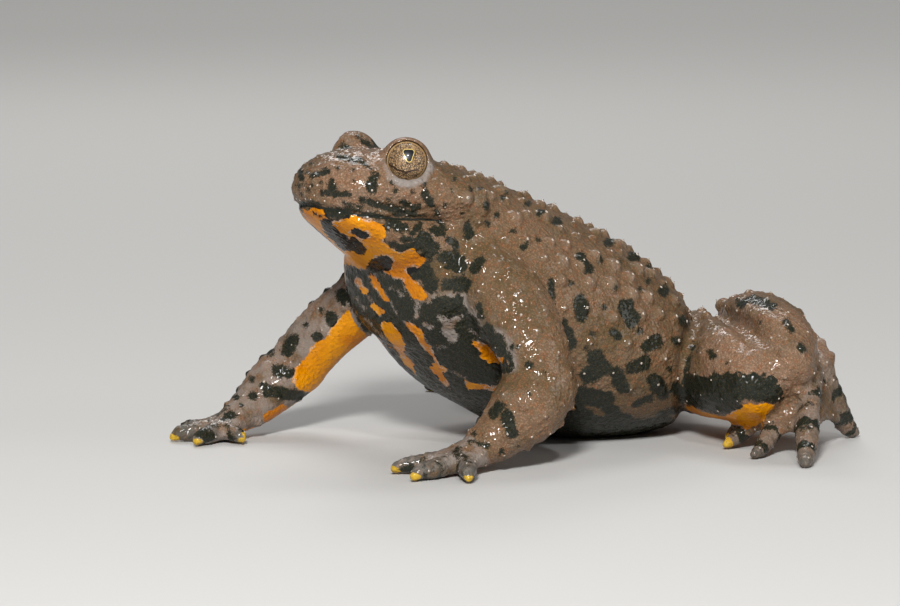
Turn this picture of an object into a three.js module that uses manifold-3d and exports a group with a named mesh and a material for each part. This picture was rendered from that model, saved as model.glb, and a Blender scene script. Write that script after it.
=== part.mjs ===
// A life-size, still model of a fire-bellied toad that sits propped up on its arms, in millimetres.
// The toad faces -X, its left side is -Y, and it rests on the floor at z = 0.
// Every limb, and the trunk, is a loft: a row of oval sections on a smooth line, written as
// [x, y, z, half width, half height]. Neighbours are parted by a thin gap, so each stays one closed solid.
import * as THREE from 'three';
import { mergeVertices } from 'three/addons/utils/BufferGeometryUtils.js';
import Module from 'manifold-3d';

const wasm = await Module();
wasm.setup();

// Driving sizes
const GAP = 0.3;                    // between two pieces that touch
const FRAME_SHIFT = [-16.9, 0, 0]; // from the pose's own origin to the middle of the footprint
const EYE_RADIUS = 1.85;
const EYE_CENTRE = [3.3, 3.9, 24.6];  // the left eye has y turned round
const GAZE = [-0.5, 0.83, 0.2];
const EYE_GAP = 0.12;               // round the eyeball, in its seat
const LID_THICKNESS = 0.35;
const LID_OPENING = 1.64;           // radius of the hole that shows the iris
const NOSTRIL = [-1.5, 1.2, 25.35];
const NOSTRIL_RADIUS = 0.32;
const MOUTH_FRONT = [-5.3, 21.4];   // x and z of the mouth line at the snout
const MOUTH_CORNER = [5.0, 19.8];
const NAPE = [10.4, 24.0];          // x and z of the line that parts the head from the trunk
const THROAT_FOLD = [2.6, 14.6];
const WEB_THICKNESS = 0.6;
const WART_RADII = [0.75, 1.25];
const WART_SINK = 0.6;              // how far a wart's middle lies under the skin, as a share of its radius
const WART_SCATTER = 0.05;
// Rows of warts, as [place along the form, first angle, last angle, count]; 90 degrees is the top.
const TRUNK_WARTS = [
  [0.17, 20, 160, 7], [0.27, 0, 180, 9], [0.38, -5, 185, 10], [0.49, 0, 180, 10],
  [0.6, -5, 185, 10], [0.72, 0, 180, 9], [0.84, 10, 170, 7], [0.94, 30, 150, 4],
];
const NAPE_WARTS = [[0.86, 10, 170, 5]];
const ARM_WARTS = [[0.35, -120, 120, 3], [0.6, -120, 120, 3], [0.85, -120, 120, 3]];
const THIGH_WARTS = [[0.45, 30, 150, 2], [0.7, 20, 160, 3], [0.95, 20, 160, 3]];
const SHANK_WARTS = [[0.25, 20, 160, 3], [0.5, 20, 160, 3], [0.75, 20, 160, 3]];
const DIGIT_SIDES = 6;
const EYE_FACES = [20, 12];         // round and from pole to pole, alike for the eye, its seat and its lid
const FINGER_SPACING = 0.9;
const FINGER_ARCH = 0.25;           // how high a knuckle stands
const TOE_ARCH = 0.2;
const WEB_REACH = 0.68;             // the share of the toes that the web joins
const WEB_HOLLOW = 0.32;            // how far its free edge curves in

// The trunk, from the chest to the vent, as [x, lowest z, highest z, half width].
// The slack belly reaches below the floor here, and is cut off flat by it.
const TRUNK = [
  [5.6, 8.6, 22.6, 8.0],
  [9.0, 5.0, 23.8, 9.8],
  [13.0, 2.7, 22.7, 11.0],
  [17.5, 0.5, 20.8, 11.8],
  [22.5, -0.5, 18.6, 12.1],
  [27.5, -0.6, 15.9, 11.2],
  [31.2, 0.2, 13.0, 8.9],
  [33.6, 1.8, 10.6, 5.4],
];
const TRUNK_SAG = 0.1;              // how much wider the trunk is low down than high up
// The skull, from the snout to the nape, and the jaw with the throat under it,
// as [x, y, z, half width, half height]
const SKULL = [
  [-3.7, 0, 22.8, 2.6, 1.4],
  [-2.6, 0, 22.8, 4.2, 2.1],
  [-0.9, 0, 22.8, 5.3, 2.6],
  [1.6, 0, 22.5, 6.4, 2.95],
  [5.0, 0, 22.0, 7.4, 3.2],
  [8.5, 0, 20.8, 8.1, 3.3],
];
const JAW = [
  [-3.4, 0, 20.9, 2.3, 0.8],
  [-2.2, 0, 20.5, 3.9, 1.3],
  [-0.2, 0, 19.8, 5.2, 2.1],
  [2.2, 0, 18.8, 6.4, 2.9],
  [5.6, 0, 17.4, 7.3, 4.0],
];

const LEFT = -1;
const RIGHT = 1;

// Each side's arm: the left one stands back against the flank, the right one reaches forwards.
const ARMS = {
  left: {
    upper: [[9.0, -6.2, 15.6, 3.6, 3.6], [9.7, -9.8, 12.8, 3.3, 3.4],
      [10.1, -12.2, 9.6, 2.9, 3.0], [10.0, -13.4, 6.8, 2.7, 2.8]],
    fore: [[10.3, -13.5, 6.4, 2.8, 2.8], [8.4, -13.7, 4.9, 3.0, 3.0],
      [6.2, -13.4, 3.1, 2.3, 2.2], [4.2, -13.0, 1.8, 1.7, 1.5]],
    palm: [[4.4, -13.0, 1.7, 1.7, 1.3], [2.9, -13.0, 1.4, 2.2, 1.1], [1.4, -13.1, 1.0, 2.3, 0.8]],
    tips: [[1.4, -8.9], [-2.4, -10.4], [-3.2, -14.4], [-0.2, -17.8]],
  },
  right: {
    upper: [[10.2, 5.6, 14.8, 3.0, 3.0], [8.0, 9.2, 11.6, 2.7, 2.7],
      [5.7, 12.0, 8.6, 2.6, 2.6], [4.2, 13.5, 6.2, 2.5, 2.5]],
    fore: [[4.1, 13.6, 5.8, 2.5, 2.5], [1.6, 13.6, 4.3, 2.5, 2.4],
      [-0.6, 13.3, 2.8, 2.0, 1.9], [-2.6, 13.0, 1.9, 1.6, 1.4]],
    palm: [[-2.5, 13.0, 1.8, 1.6, 1.3], [-3.8, 13.0, 1.3, 2.0, 1.0], [-5.0, 13.0, 0.9, 2.1, 0.8]],
    tips: [[-4.2, 9.6], [-8.0, 11.0], [-8.2, 14.4], [-5.4, 17.4]],
  },
};
const FINGER_RADII = [0.7, 0.8, 0.85, 0.75];
// Each side's leg is folded: the thigh points outwards, the shank comes back behind it to the heel,
// and the foot points outwards again.
const LEGS = {
  left: {
    thigh: [[33.0, -3.6, 5.8, 4.6, 4.6], [31.4, -10.0, 6.1, 4.5, 4.4], [29.8, -16.2, 6.3, 4.1, 4.1],
      [29.4, -18.4, 6.4, 3.6, 3.7]],
    shank: [[30.4, -19.0, 7.0, 3.4, 3.5], [32.6, -16.0, 8.3, 3.6, 3.6], [35.4, -10.4, 8.9, 3.4, 3.4],
      [37.6, -5.2, 8.6, 2.6, 2.6]],
    tarsus: [[38.2, -4.8, 7.6, 2.1, 2.1], [38.8, -8.8, 7.8, 1.8, 1.7], [38.0, -12.8, 7.6, 2.1, 1.6],
      [36.2, -16.0, 6.6, 2.5, 1.4]],
  },
  right: {
    thigh: [[33.0, 3.6, 5.6, 4.5, 4.5], [31.2, 10.0, 5.8, 4.4, 4.3], [29.4, 16.2, 6.0, 4.0, 4.0],
      [28.9, 18.4, 6.0, 3.6, 3.6]],
    shank: [[29.8, 19.0, 6.6, 3.4, 3.5], [31.8, 16.0, 7.4, 3.5, 3.5], [34.4, 10.6, 7.2, 3.2, 3.2],
      [36.2, 5.6, 6.2, 2.5, 2.5]],
    tarsus: [[37.0, 5.0, 5.2, 2.0, 2.0], [38.0, 8.8, 6.0, 1.8, 1.7], [37.6, 12.8, 6.6, 2.1, 1.6],
      [36.2, 16.0, 6.2, 2.5, 1.4]],
  },
};
// Toes, from the innermost, written for the right side
const TOE_ROOTS = [[33.0, 13.8, 3.4], [33.2, 15.8, 4.0], [33.9, 17.4, 5.2], [34.8, 18.2, 6.4], [36.6, 17.0, 6.6]];
const TOE_TIPS = [[30.0, 13.0], [27.6, 15.8], [26.4, 21.2], [27.0, 27.0], [41.0, 16.8]];
const TOE_RADII = [0.65, 0.75, 0.85, 1.0, 0.95];

const spread = (side, rows) => rows.map(([x, y, ...rest]) => [x, side * y, ...rest]);

// Solids
const solidOf = (geometry) => {
  const bare = new THREE.BufferGeometry().setAttribute('position', geometry.getAttribute('position'));
  bare.setIndex(geometry.index);
  const merged = mergeVertices(bare, 1e-4);
  return new wasm.Manifold(new wasm.Mesh({
    numProp: 3,
    vertProperties: merged.attributes.position.array,
    triVerts: new Uint32Array(merged.index.array),
  }));
};

const joined = (solids) => solids.reduce((sum, solid) => sum.add(solid));

const bySize = (solid) => solid.decompose().sort((a, b) => b.volume() - a.volume());

const cutBy = (solid, tools) => bySize(tools.reduce((left, tool) => left.subtract(tool), solid))[0];

const geometryOf = (solid) => {
  const { numProp, numVert, vertProperties, triVerts } = solid.getMesh();
  const positions = new Float32Array(numVert * 3);
  for (let i = 0; i < numVert; i += 1) {
    positions.set(vertProperties.subarray(i * numProp, i * numProp + 3), i * 3);
  }
  const geometry = new THREE.BufferGeometry();
  geometry.setAttribute('position', new THREE.BufferAttribute(positions, 3));
  geometry.setIndex(new THREE.BufferAttribute(new Uint32Array(triVerts), 1));
  geometry.computeVertexNormals();
  return geometry;
};

// A closed surface through rows of points, with a pole at each end
const closedRows = (rows, firstPole, lastPole) => {
  const sides = rows[0].length;
  const points = [firstPole, ...rows.flat(), lastPole];
  const last = points.length - 1;
  const faces = [];
  for (let i = 0; i < sides; i += 1) {
    const next = (i + 1) % sides;
    faces.push(0, 1 + next, 1 + i);
    for (let row = 0; row < rows.length - 1; row += 1) {
      const a = 1 + row * sides + i;
      const b = 1 + row * sides + next;
      faces.push(a, b, b + sides, a, b + sides, a + sides);
    }
    const end = 1 + (rows.length - 1) * sides;
    faces.push(last, end + i, end + next);
  }
  const geometry = new THREE.BufferGeometry().setFromPoints(points);
  geometry.setIndex(faces);
  return geometry;
};

// A loft through oval sections, with round ends. grow makes a larger copy, for cutting a neighbour.
// upright keeps every section square to the toad's length, for the trunk and the head.
const loftFrames = (stops, { grow = 0, roundness = 1, up = [0, 0, 1], upright = false, sag = 0 } = {}) => {
  const line = new THREE.CatmullRomCurve3(stops.map(([x, y, z]) => new THREE.Vector3(x, y, z)));
  const sizes = new THREE.CatmullRomCurve3(stops.map(([, , , w, h]) => new THREE.Vector3(w, h, 0)));
  const upwards = new THREE.Vector3(...up);
  const tangentAt = (t) => (upright ? new THREE.Vector3(1, 0, 0) : line.getTangent(t).normalize());
  const centreAt = (t, along) => line.getPoint(t).addScaledVector(tangentAt(t), along);
  // The point of section t in the direction of an angle, moved along the line and drawn in by scale
  const pointAt = (t, angle, along = 0, scale = 1) => {
    const across = new THREE.Vector3().crossVectors(upwards, tangentAt(t)).normalize();
    const above = new THREE.Vector3().crossVectors(tangentAt(t), across).normalize();
    const { x: wide, y: high } = sizes.getPoint(t);
    return centreAt(t, along)
      .addScaledVector(across, Math.cos(angle) * (1 - sag * Math.sin(angle)) * (wide + grow) * scale)
      .addScaledVector(above, Math.sin(angle) * (high + grow) * scale);
  };
  const reach = (t) => (Math.min(sizes.getPoint(t).x, sizes.getPoint(t).y) * roundness) + grow;
  return { pointAt, centreAt, reach };
};

const loft = (stops, { sides = 10, rings = 7, caps = [70, 40], ...options } = {}) => {
  const { pointAt, centreAt, reach } = loftFrames(stops, options);
  const section = (t, along, scale) => Array.from({ length: sides }, (_, i) => (
    pointAt(t, (2 * Math.PI * i) / sides, along, scale)));
  const cap = (t, way) => caps.map(THREE.MathUtils.degToRad)
    .map((angle) => section(t, way * reach(t) * Math.sin(angle), Math.cos(angle)));
  const body = Array.from({ length: rings + 1 }, (_, i) => section(i / rings, 0, 1));
  const rows = [...cap(0, -1), ...body, ...cap(1, 1).reverse()];
  return solidOf(closedRows(rows, centreAt(0, -reach(0)), centreAt(1, reach(1))));
};

const ball = (centre, radius, [across, down] = [16, 10]) => {
  const geometry = new THREE.SphereGeometry(radius, across, down);
  geometry.translate(...centre);
  return solidOf(geometry);
};

const block = (low, high) => {
  const size = high.map((value, i) => value - low[i]);
  const geometry = new THREE.BoxGeometry(...size);
  geometry.translate(...low.map((value, i) => value + size[i] / 2));
  return solidOf(geometry);
};

const otherHalf = (side) => (side === LEFT
  ? block([-60, -GAP / 2, -60], [90, 60, 60]) : block([-60, -60, -60], [90, GAP / 2, 60]));
const floorCutter = () => block([-60, -60, -20], [90, 60, 0]);

// A finger or toe: it leaves its root, arches over a knuckle and comes down to a blunt tip on the floor.
const TIP_HEIGHT = 0.42;
const digitStops = (root, tip, radius, arch) => {
  const [rx, ry, rz] = root;
  const [tx, ty] = tip;
  const at = (share, height, thick) => [
    rx + (tx - rx) * share, ry + (ty - ry) * share, height, radius * thick, radius * thick];
  return [
    at(0, rz, 1.15),
    at(0.35, rz * 0.62 + arch, 1.0),
    at(0.62, rz * 0.25 + arch + 0.25, 0.98),
    at(0.85, TIP_HEIGHT + 0.35, 0.76),
    at(1, TIP_HEIGHT, 0.52),
  ];
};

const digit = (stops, grow = 0) => loft(stops, { sides: DIGIT_SIDES, rings: 6, caps: [50], grow });

// The skin between two toes: a thin sheet whose free edge curves in.
const web = (stopsA, stopsB) => {
  const [lineA, lineB] = [stopsA, stopsB].map((stops) => new THREE.CatmullRomCurve3(
    stops.map(([x, y, z]) => new THREE.Vector3(x, y, z))));
  const [along, across] = [3, 2];
  const half = new THREE.Vector3(0, 0, WEB_THICKNESS / 2);
  const at = (i, j) => {
    const share = j / across;
    const t = (WEB_REACH * (1 - WEB_HOLLOW * Math.sin(Math.PI * share)) * i) / along;
    return lineA.getPoint(t).lerp(lineB.getPoint(t), share);
  };
  const grid = [];
  for (let i = 0; i <= along; i += 1) {
    for (let j = 0; j <= across; j += 1) grid.push(at(i, j));
  }
  const points = [...grid.map((p) => p.clone().add(half)), ...grid.map((p) => p.clone().sub(half))];
  const under = grid.length;
  const index = (i, j) => i * (across + 1) + j;
  const faces = [];
  const quad = (a, b, c, d) => faces.push(a, b, c, a, c, d);
  for (let i = 0; i < along; i += 1) {
    for (let j = 0; j < across; j += 1) {
      const [a, b, c, d] = [index(i, j), index(i + 1, j), index(i + 1, j + 1), index(i, j + 1)];
      faces.push(a, b, c, a, c, d);
      faces.push(under + a, under + c, under + b, under + a, under + d, under + c);
    }
    quad(index(i, 0), under + index(i, 0), under + index(i + 1, 0), index(i + 1, 0));
    quad(index(i + 1, across), under + index(i + 1, across), under + index(i, across), index(i, across));
  }
  for (let j = 0; j < across; j += 1) {
    quad(index(0, j + 1), under + index(0, j + 1), under + index(0, j), index(0, j));
    quad(index(along, j), under + index(along, j), under + index(along, j + 1), index(along, j + 1));
  }
  const geometry = new THREE.BufferGeometry().setFromPoints(points);
  geometry.setIndex(faces);
  const made = solidOf(geometry);
  if (made.volume() > 0) return made;
  geometry.setIndex(faces.toReversed());
  return solidOf(geometry);
};

// Trunk and head in one
const TRUNK_STOPS = TRUNK.map(([x, low, high, wide]) => [x, 0, (low + high) / 2, wide, (high - low) / 2]);
const TRUNK_FORM = { sides: 22, rings: 14, roundness: 0.36, upright: true, sag: TRUNK_SAG };
const HEAD_FORM = { sides: 20, rings: 9, roundness: 0.5, upright: true };
const bodyOf = (grow = 0) => joined([
  loft(TRUNK_STOPS, { ...TRUNK_FORM, grow }),
  loft(SKULL, { ...HEAD_FORM, grow }),
  loft(JAW, { ...HEAD_FORM, grow }),
]);

// Warts are low domes, set on a form by its place along the line and by an angle round it.
const seededDraw = (seed) => {
  let state = seed;
  return () => {
    state = (state * 1664525 + 1013904223) % 4294967296;
    return state / 4294967296;
  };
};

const wartOn = (stops, options, along, degrees, radius, grow) => {
  const centre = loftFrames(stops, { ...options, grow: -WART_SINK * radius })
    .pointAt(along, THREE.MathUtils.degToRad(degrees));
  return ball(centre.toArray(), radius + grow, [6, 3]);
};

// rows of [place along, first angle, last angle, count], each wart moved a little from its place
const wartsOver = (stops, options, rows, seed, grow = 0) => {
  const draw = seededDraw(seed);
  return rows.flatMap(([along, from, to, count]) => Array.from({ length: count }, (_, i) => {
    const degrees = from + ((to - from) * (i + 0.25 + 0.5 * draw())) / count;
    const place = along + (draw() - 0.5) * WART_SCATTER;
    const radius = WART_RADII[0] + (WART_RADII[1] - WART_RADII[0]) * draw();
    return wartOn(stops, options, place, degrees, radius, grow);
  }));
};

const wartyLoft = (stops, rows, options) => (
  joined([loft(stops, options), ...wartsOver(stops, options, rows, 7, options.grow)]));

const bodyWarts = (grow = 0) => [
  ...wartsOver(TRUNK_STOPS, TRUNK_FORM, TRUNK_WARTS, 3, grow),
  ...wartsOver(SKULL, HEAD_FORM, NAPE_WARTS, 5, grow),
];

// Eyes
const eyeCentre = (side) => [EYE_CENTRE[0], side * EYE_CENTRE[1], EYE_CENTRE[2]];
const gazeOf = (side) => new THREE.Vector3(GAZE[0], side * GAZE[1], GAZE[2]).normalize();

const lidHole = (side) => {
  const geometry = new THREE.CylinderGeometry(LID_OPENING * 1.35, LID_OPENING * 0.72, EYE_RADIUS * 1.6, 20);
  geometry.translate(0, EYE_RADIUS * 1.15, 0);
  geometry.applyQuaternion(new THREE.Quaternion().setFromUnitVectors(new THREE.Vector3(0, 1, 0), gazeOf(side)));
  geometry.translate(...eyeCentre(side));
  return solidOf(geometry);
};

// A thin slab across the whole width, through two points of the side view
const slabThrough = ([x0, z0], [x1, z1]) => {
  const geometry = new THREE.BoxGeometry(60, 60, GAP);
  geometry.applyQuaternion(new THREE.Quaternion().setFromAxisAngle(
    new THREE.Vector3(0, 1, 0), Math.atan2(z0 - z1, x1 - x0)));
  geometry.translate((x0 + x1) / 2, 0, (z0 + z1) / 2);
  return solidOf(geometry);
};

// Head and trunk are made whole, then parted at the neck and along the mouth.
const wholeBody = () => {
  const lids = [LEFT, RIGHT].map((side) => ball(eyeCentre(side), EYE_RADIUS + LID_THICKNESS, EYE_FACES));
  const mass = joined([bodyOf(), ...lids, ...bodyWarts()]);
  const openings = [LEFT, RIGHT].flatMap((side) => [
    lidHole(side),
    ball(eyeCentre(side), EYE_RADIUS + EYE_GAP, EYE_FACES),
    ball([NOSTRIL[0], side * NOSTRIL[1], NOSTRIL[2]], NOSTRIL_RADIUS, [8, 6]),
  ]);
  return openings.reduce((left, tool) => left.subtract(tool), mass).subtract(floorCutter());
};

// Arms and legs
const handOf = (arm, grow) => {
  const [heel, middle, front] = arm.palm;
  const sideways = Math.sign(arm.tips[3][1] - arm.tips[0][1]);
  const fingers = arm.tips.map((tip, i) => {
    const root = [front[0] + 0.6, front[1] + (i - 1.5) * FINGER_SPACING * sideways, front[2] + 0.1];
    return digit(digitStops(root, tip, FINGER_RADII[i], FINGER_ARCH), grow);
  });
  return joined([loft([heel, middle, front], { sides: 10, rings: 4, grow, roundness: 0.7 }), ...fingers]);
};

const toesOf = (side) => {
  const toes = TOE_TIPS.map((tip, i) => digitStops(
    spread(side, [TOE_ROOTS[i]])[0], [tip[0], side * tip[1]], TOE_RADII[i], TOE_ARCH));
  const webs = toes.slice(1).map((stops, i) => web(toes[i], stops));
  return joined([...toes.map((stops) => digit(stops)), ...webs]);
};

const colours = {
  back: 0x7d6553,
  belly: 0xe08a10,
  eye: 0xb98a4a,
};
const skinMaterial = () => new THREE.MeshStandardMaterial({ color: colours.back, roughness: 0.35 });
const jawMaterial = () => new THREE.MeshStandardMaterial({ color: colours.belly, roughness: 0.35 });
const eyeMaterial = () => new THREE.MeshStandardMaterial({ color: colours.eye, roughness: 0.08 });

const toad = new THREE.Group();
toad.position.set(...FRAME_SHIFT);
const addNode = (name, solid, material) => {
  const mesh = new THREE.Mesh(geometryOf(solid), material);
  mesh.name = name;
  toad.add(mesh);
};

const [trunk, headMass] = bySize(wholeBody().subtract(slabThrough(NAPE, THROAT_FOLD)));
const [head, jaw] = bySize(headMass.subtract(slabThrough(MOUTH_FRONT, MOUTH_CORNER)));
addNode('torso', trunk, skinMaterial());
addNode('head', head, skinMaterial());
addNode('jaw', jaw, jawMaterial());

const bodyRoom = joined([bodyOf(GAP), ...bodyWarts(GAP)]);
for (const [name, side] of [['left', LEFT], ['right', RIGHT]]) {
  addNode(`eye_${name}`, ball(eyeCentre(side), EYE_RADIUS, EYE_FACES), eyeMaterial());
  const arm = ARMS[name];
  const upperArm = (grow) => wartyLoft(arm.upper, ARM_WARTS, { grow, up: [1, 0, 0] });
  const forearm = (grow) => loft(arm.fore, { grow });
  addNode(`upper_arm_${name}`, cutBy(upperArm(0), [bodyRoom]), skinMaterial());
  addNode(`forearm_${name}`, cutBy(forearm(0), [bodyRoom, upperArm(GAP), floorCutter()]), skinMaterial());
  addNode(`hand_${name}`, cutBy(handOf(arm, 0), [forearm(GAP), floorCutter()]), skinMaterial());
  const leg = LEGS[name];
  const thigh = (grow) => wartyLoft(leg.thigh, THIGH_WARTS, { grow, sides: 14 });
  const shank = (grow) => wartyLoft(leg.shank, SHANK_WARTS, { grow, sides: 12 });
  const tarsus = (grow) => loft(leg.tarsus, { grow, sides: 10, rings: 6 });
  addNode(`thigh_${name}`, cutBy(thigh(0), [bodyRoom, otherHalf(side), floorCutter()]), skinMaterial());
  addNode(`shank_${name}`, cutBy(shank(0), [bodyRoom, otherHalf(side), thigh(GAP)]), skinMaterial());
  addNode(`tarsus_${name}`, cutBy(tarsus(0), [bodyRoom, otherHalf(side), thigh(GAP), shank(GAP)]), skinMaterial());
  addNode(`foot_${name}`, cutBy(toesOf(side), [bodyRoom, thigh(GAP), shank(GAP), tarsus(GAP), floorCutter()]),
    skinMaterial());
}

export default toad;
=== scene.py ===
# %% [markdown]
# # A fire-bellied toad, life size
#
# This is a lesson in building one small animal. The toad sits propped up on its arms, faces -X,
# and rests on the floor at z = 0. Its solids, made before, are loaded first, as the frame that all
# pieces have to fit. Everything here is in metres, so a millimetre has a name of its own. The noise
# that makes patterns later starts from the clock unless it has a seed, so it is given one.

import bpy
import math
import numpy as np
from mathutils import Matrix, Vector, kdtree
from mathutils.noise import noise_vector, seed_set


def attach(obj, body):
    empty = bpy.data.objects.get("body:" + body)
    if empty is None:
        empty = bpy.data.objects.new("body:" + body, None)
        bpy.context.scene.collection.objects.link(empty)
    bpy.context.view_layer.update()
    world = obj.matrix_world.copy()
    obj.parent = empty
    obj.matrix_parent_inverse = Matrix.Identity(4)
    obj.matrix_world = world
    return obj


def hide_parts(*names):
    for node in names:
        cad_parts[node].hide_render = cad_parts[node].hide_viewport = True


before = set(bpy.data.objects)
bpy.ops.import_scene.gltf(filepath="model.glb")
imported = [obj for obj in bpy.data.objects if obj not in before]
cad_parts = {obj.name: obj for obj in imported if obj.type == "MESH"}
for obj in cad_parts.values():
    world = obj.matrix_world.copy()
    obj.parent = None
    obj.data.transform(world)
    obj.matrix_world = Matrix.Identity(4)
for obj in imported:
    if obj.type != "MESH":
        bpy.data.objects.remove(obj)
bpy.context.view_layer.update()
MM = 0.001
FRAME_SHIFT = np.array([-16.9, 0.0, 0.0])
NOISE_SEED = 5
seed_set(NOISE_SEED)

# %% [markdown]
# ## The camera
#
# A long lens is how such a small animal is photographed from a safe distance. The camera stands
# low, before the toad's left side. It could be placed by eye, but here its turn, height, distance and
# scale are named, because the markings are placed later through the same camera.

# %% The camera
AZIMUTH = -35.0
ELEVATION = 7.0
DISTANCE = 350.0
PIXELS_PER_MM = 12.0
PHOTO_SIZE = (900, 606)
AIM = (8.56, 12.7)  # how far right and up of the pose's origin the picture's middle lies, in mm


def camera_axes():
    turn, rise = math.radians(AZIMUTH), math.radians(ELEVATION)
    right = np.array([math.cos(turn), math.sin(turn), 0.0])
    back = np.array([math.sin(turn) * math.cos(rise), -math.cos(turn) * math.cos(rise), math.sin(rise)])
    return right, np.cross(back, right), back


RIGHT, UP, BACK = camera_axes()
TARGET = RIGHT * AIM[0] + UP * AIM[1]


def pixels_of(points_mm):
    """Where points of the pose, in mm, are seen in the photo's frame, and how near they are."""
    offset = points_mm - TARGET
    depth = offset @ BACK
    grow = DISTANCE / (DISTANCE - depth)
    across = PHOTO_SIZE[0] / 2 + PIXELS_PER_MM * (offset @ RIGHT) * grow
    down = PHOTO_SIZE[1] / 2 - PIXELS_PER_MM * (offset @ UP) * grow
    return across, down, depth


def add_camera():
    bpy.ops.object.camera_add()
    camera = bpy.context.object
    camera.name = "camera"
    camera.data.sensor_width = 36.0
    camera.data.lens = 36.0 * DISTANCE * PIXELS_PER_MM / PHOTO_SIZE[0]
    camera.data.clip_start = 0.01
    turned = Matrix((RIGHT, UP, BACK)).transposed()
    place = (TARGET + BACK * DISTANCE + FRAME_SHIFT) * MM
    camera.matrix_world = Matrix.Translation(place) @ turned.to_4x4()
    bpy.context.scene.camera = camera
    return camera


camera = add_camera()
print("lens", round(camera.data.lens, 1), "mm")

# %% [markdown]
# ## Helpers
#
# Each operator works on what is selected, so the first helper clears the selection. A form of the
# body could be extruded ring by ring, but the flesh has no ring that is a true circle and the rings
# follow curved lines. So a sphere is added, which has its two poles closed already, and its rings
# are then moved on to ovals along a smooth line.


# %% Helpers for objects
def select_only(*objects):
    bpy.ops.object.select_all(action="DESELECT")
    for item in objects:
        item.select_set(True)
    bpy.context.view_layer.objects.active = objects[-1]


def places_of(mesh):
    places = np.empty(len(mesh.vertices) * 3, np.float32)
    mesh.vertices.foreach_get("co", places)
    return places.reshape(-1, 3).astype(float)


def put_places(mesh, places):
    mesh.vertices.foreach_set("co", places.astype(np.float32).ravel())
    mesh.update()


def normals_of(mesh):
    normals = np.empty(len(mesh.vertices) * 3, np.float32)
    mesh.vertex_normals.foreach_get("vector", normals)
    return normals.reshape(-1, 3).astype(float)


def apply_modifier(item, kind, **values):
    select_only(item)
    modifier = item.modifiers.new(kind.lower(), kind)
    for key, value in values.items():
        setattr(modifier, key, value)
    bpy.ops.object.modifier_apply(modifier=modifier.name)


# %% Helpers for forms along a line
def smooth_points(rows, at):
    """Points of a smooth line through rows, where at runs from 0 at the first row to 1 at the last."""
    rows = np.array(rows, float)
    rows = np.vstack([2 * rows[0] - rows[1], rows, 2 * rows[-1] - rows[-2]])
    last = len(rows) - 3
    spot = np.clip(at, 0, 1) * last
    index = np.minimum(spot.astype(int), last - 1)
    u = (spot - index)[:, None]
    a, b, c, d = (rows[index + i] for i in range(4))
    return 0.5 * (2 * b + (c - a) * u + (2 * a - 5 * b + 4 * c - d) * u**2 + (3 * b - a - 3 * c + d) * u**3)


CAP_SHARE = 0.12  # the share of a form's rings that closes each end


def form(name, stops, sides=32, rings=60, roundness=1.0, upright=False, up=(0, 0, 1), sag=0.0):
    """A closed form through oval stops [x, y, z, half width, half height], in mm of the pose."""
    bpy.ops.mesh.primitive_uv_sphere_add(segments=sides, ring_count=rings, radius=1.0)
    item = bpy.context.object
    item.name = name
    ball = places_of(item.data)
    share = np.arccos(np.clip(-ball[:, 2], -1, 1)) / math.pi
    angle = np.arctan2(ball[:, 1], ball[:, 0])
    at = np.clip((share - CAP_SHARE) / (1 - 2 * CAP_SHARE), 0, 1)
    cap = np.maximum(0, np.maximum(CAP_SHARE - share, share - 1 + CAP_SHARE)) / CAP_SHARE * math.pi / 2
    way = np.sign(share - 0.5)
    stops = np.array(stops, float)
    centre = smooth_points(stops[:, :3], at)
    size = smooth_points(stops[:, 3:], at)
    step = 1e-3
    tangent = smooth_points(stops[:, :3], at + step) - smooth_points(stops[:, :3], at - step)
    if upright:
        tangent = np.tile([1.0, 0.0, 0.0], (len(at), 1))
    tangent /= np.linalg.norm(tangent, axis=1)[:, None]
    across = np.cross(np.array(up, float), tangent)
    across /= np.linalg.norm(across, axis=1)[:, None]
    above = np.cross(tangent, across)
    reach = size.min(axis=1) * roundness * np.sin(cap) * way
    wide = size[:, 0] * np.cos(cap) * np.cos(angle) * (1 - sag * np.sin(angle))
    high = size[:, 1] * np.cos(cap) * np.sin(angle)
    places = centre + tangent * reach[:, None] + across * wide[:, None] + above * high[:, None]
    put_places(item.data, (places + FRAME_SHIFT) * MM)
    return item


def ball_at(name, centre, radius, sides=48, rings=32):
    place = (np.array(centre) + FRAME_SHIFT) * MM
    bpy.ops.mesh.primitive_uv_sphere_add(segments=sides, ring_count=rings, radius=radius * MM, location=place)
    item = bpy.context.object
    item.name = name
    bpy.ops.object.transform_apply(location=True, rotation=True, scale=True)
    return item


# %% [markdown]
# ## The forms of the body
#
# A toad's trunk is one slack bag: narrow at the chest, widest over the belly, with the back's ridge
# falling straight from the nape to the vent. Each row below is one oval station along it, in
# millimetres, and a form needs only the few stations where its shape changes.

# %% Trunk, skull and jaw
TRUNK = [  # x, lowest z, highest z, half width
    [5.6, 8.6, 22.6, 8.0],
    [9.0, 5.0, 23.8, 9.8],
    [13.0, 2.7, 22.7, 11.0],
    [17.5, 0.5, 20.8, 11.8],
    [22.5, -0.5, 18.6, 12.1],
    [27.5, -0.6, 15.9, 11.2],
    [31.2, 0.2, 13.0, 8.9],
    [33.6, 1.8, 10.6, 5.4],
]
SKULL = [  # x, y, z, half width, half height, as in all forms from here on
    [-3.55, 0, 22.5, 2.6, 1.35],
    [-2.5, 0, 22.55, 4.2, 2.05],
    [-0.9, 0, 22.7, 5.3, 2.6],
    [1.6, 0, 22.5, 6.4, 2.95],
    [5.0, 0, 22.0, 7.4, 3.2],
    [8.5, 0, 20.8, 8.1, 3.3],
]
JAW = [
    [-3.5, 0, 21.0, 2.3, 0.8],
    [-2.2, 0, 20.5, 3.9, 1.3],
    [-0.2, 0, 19.8, 5.2, 2.1],
    [2.2, 0, 18.8, 6.4, 2.9],
    [5.6, 0, 17.4, 7.3, 4.0],
]
trunk_stops = [[x, 0, (low + high) / 2, wide, (high - low) / 2] for x, low, high, wide in TRUNK]
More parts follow.
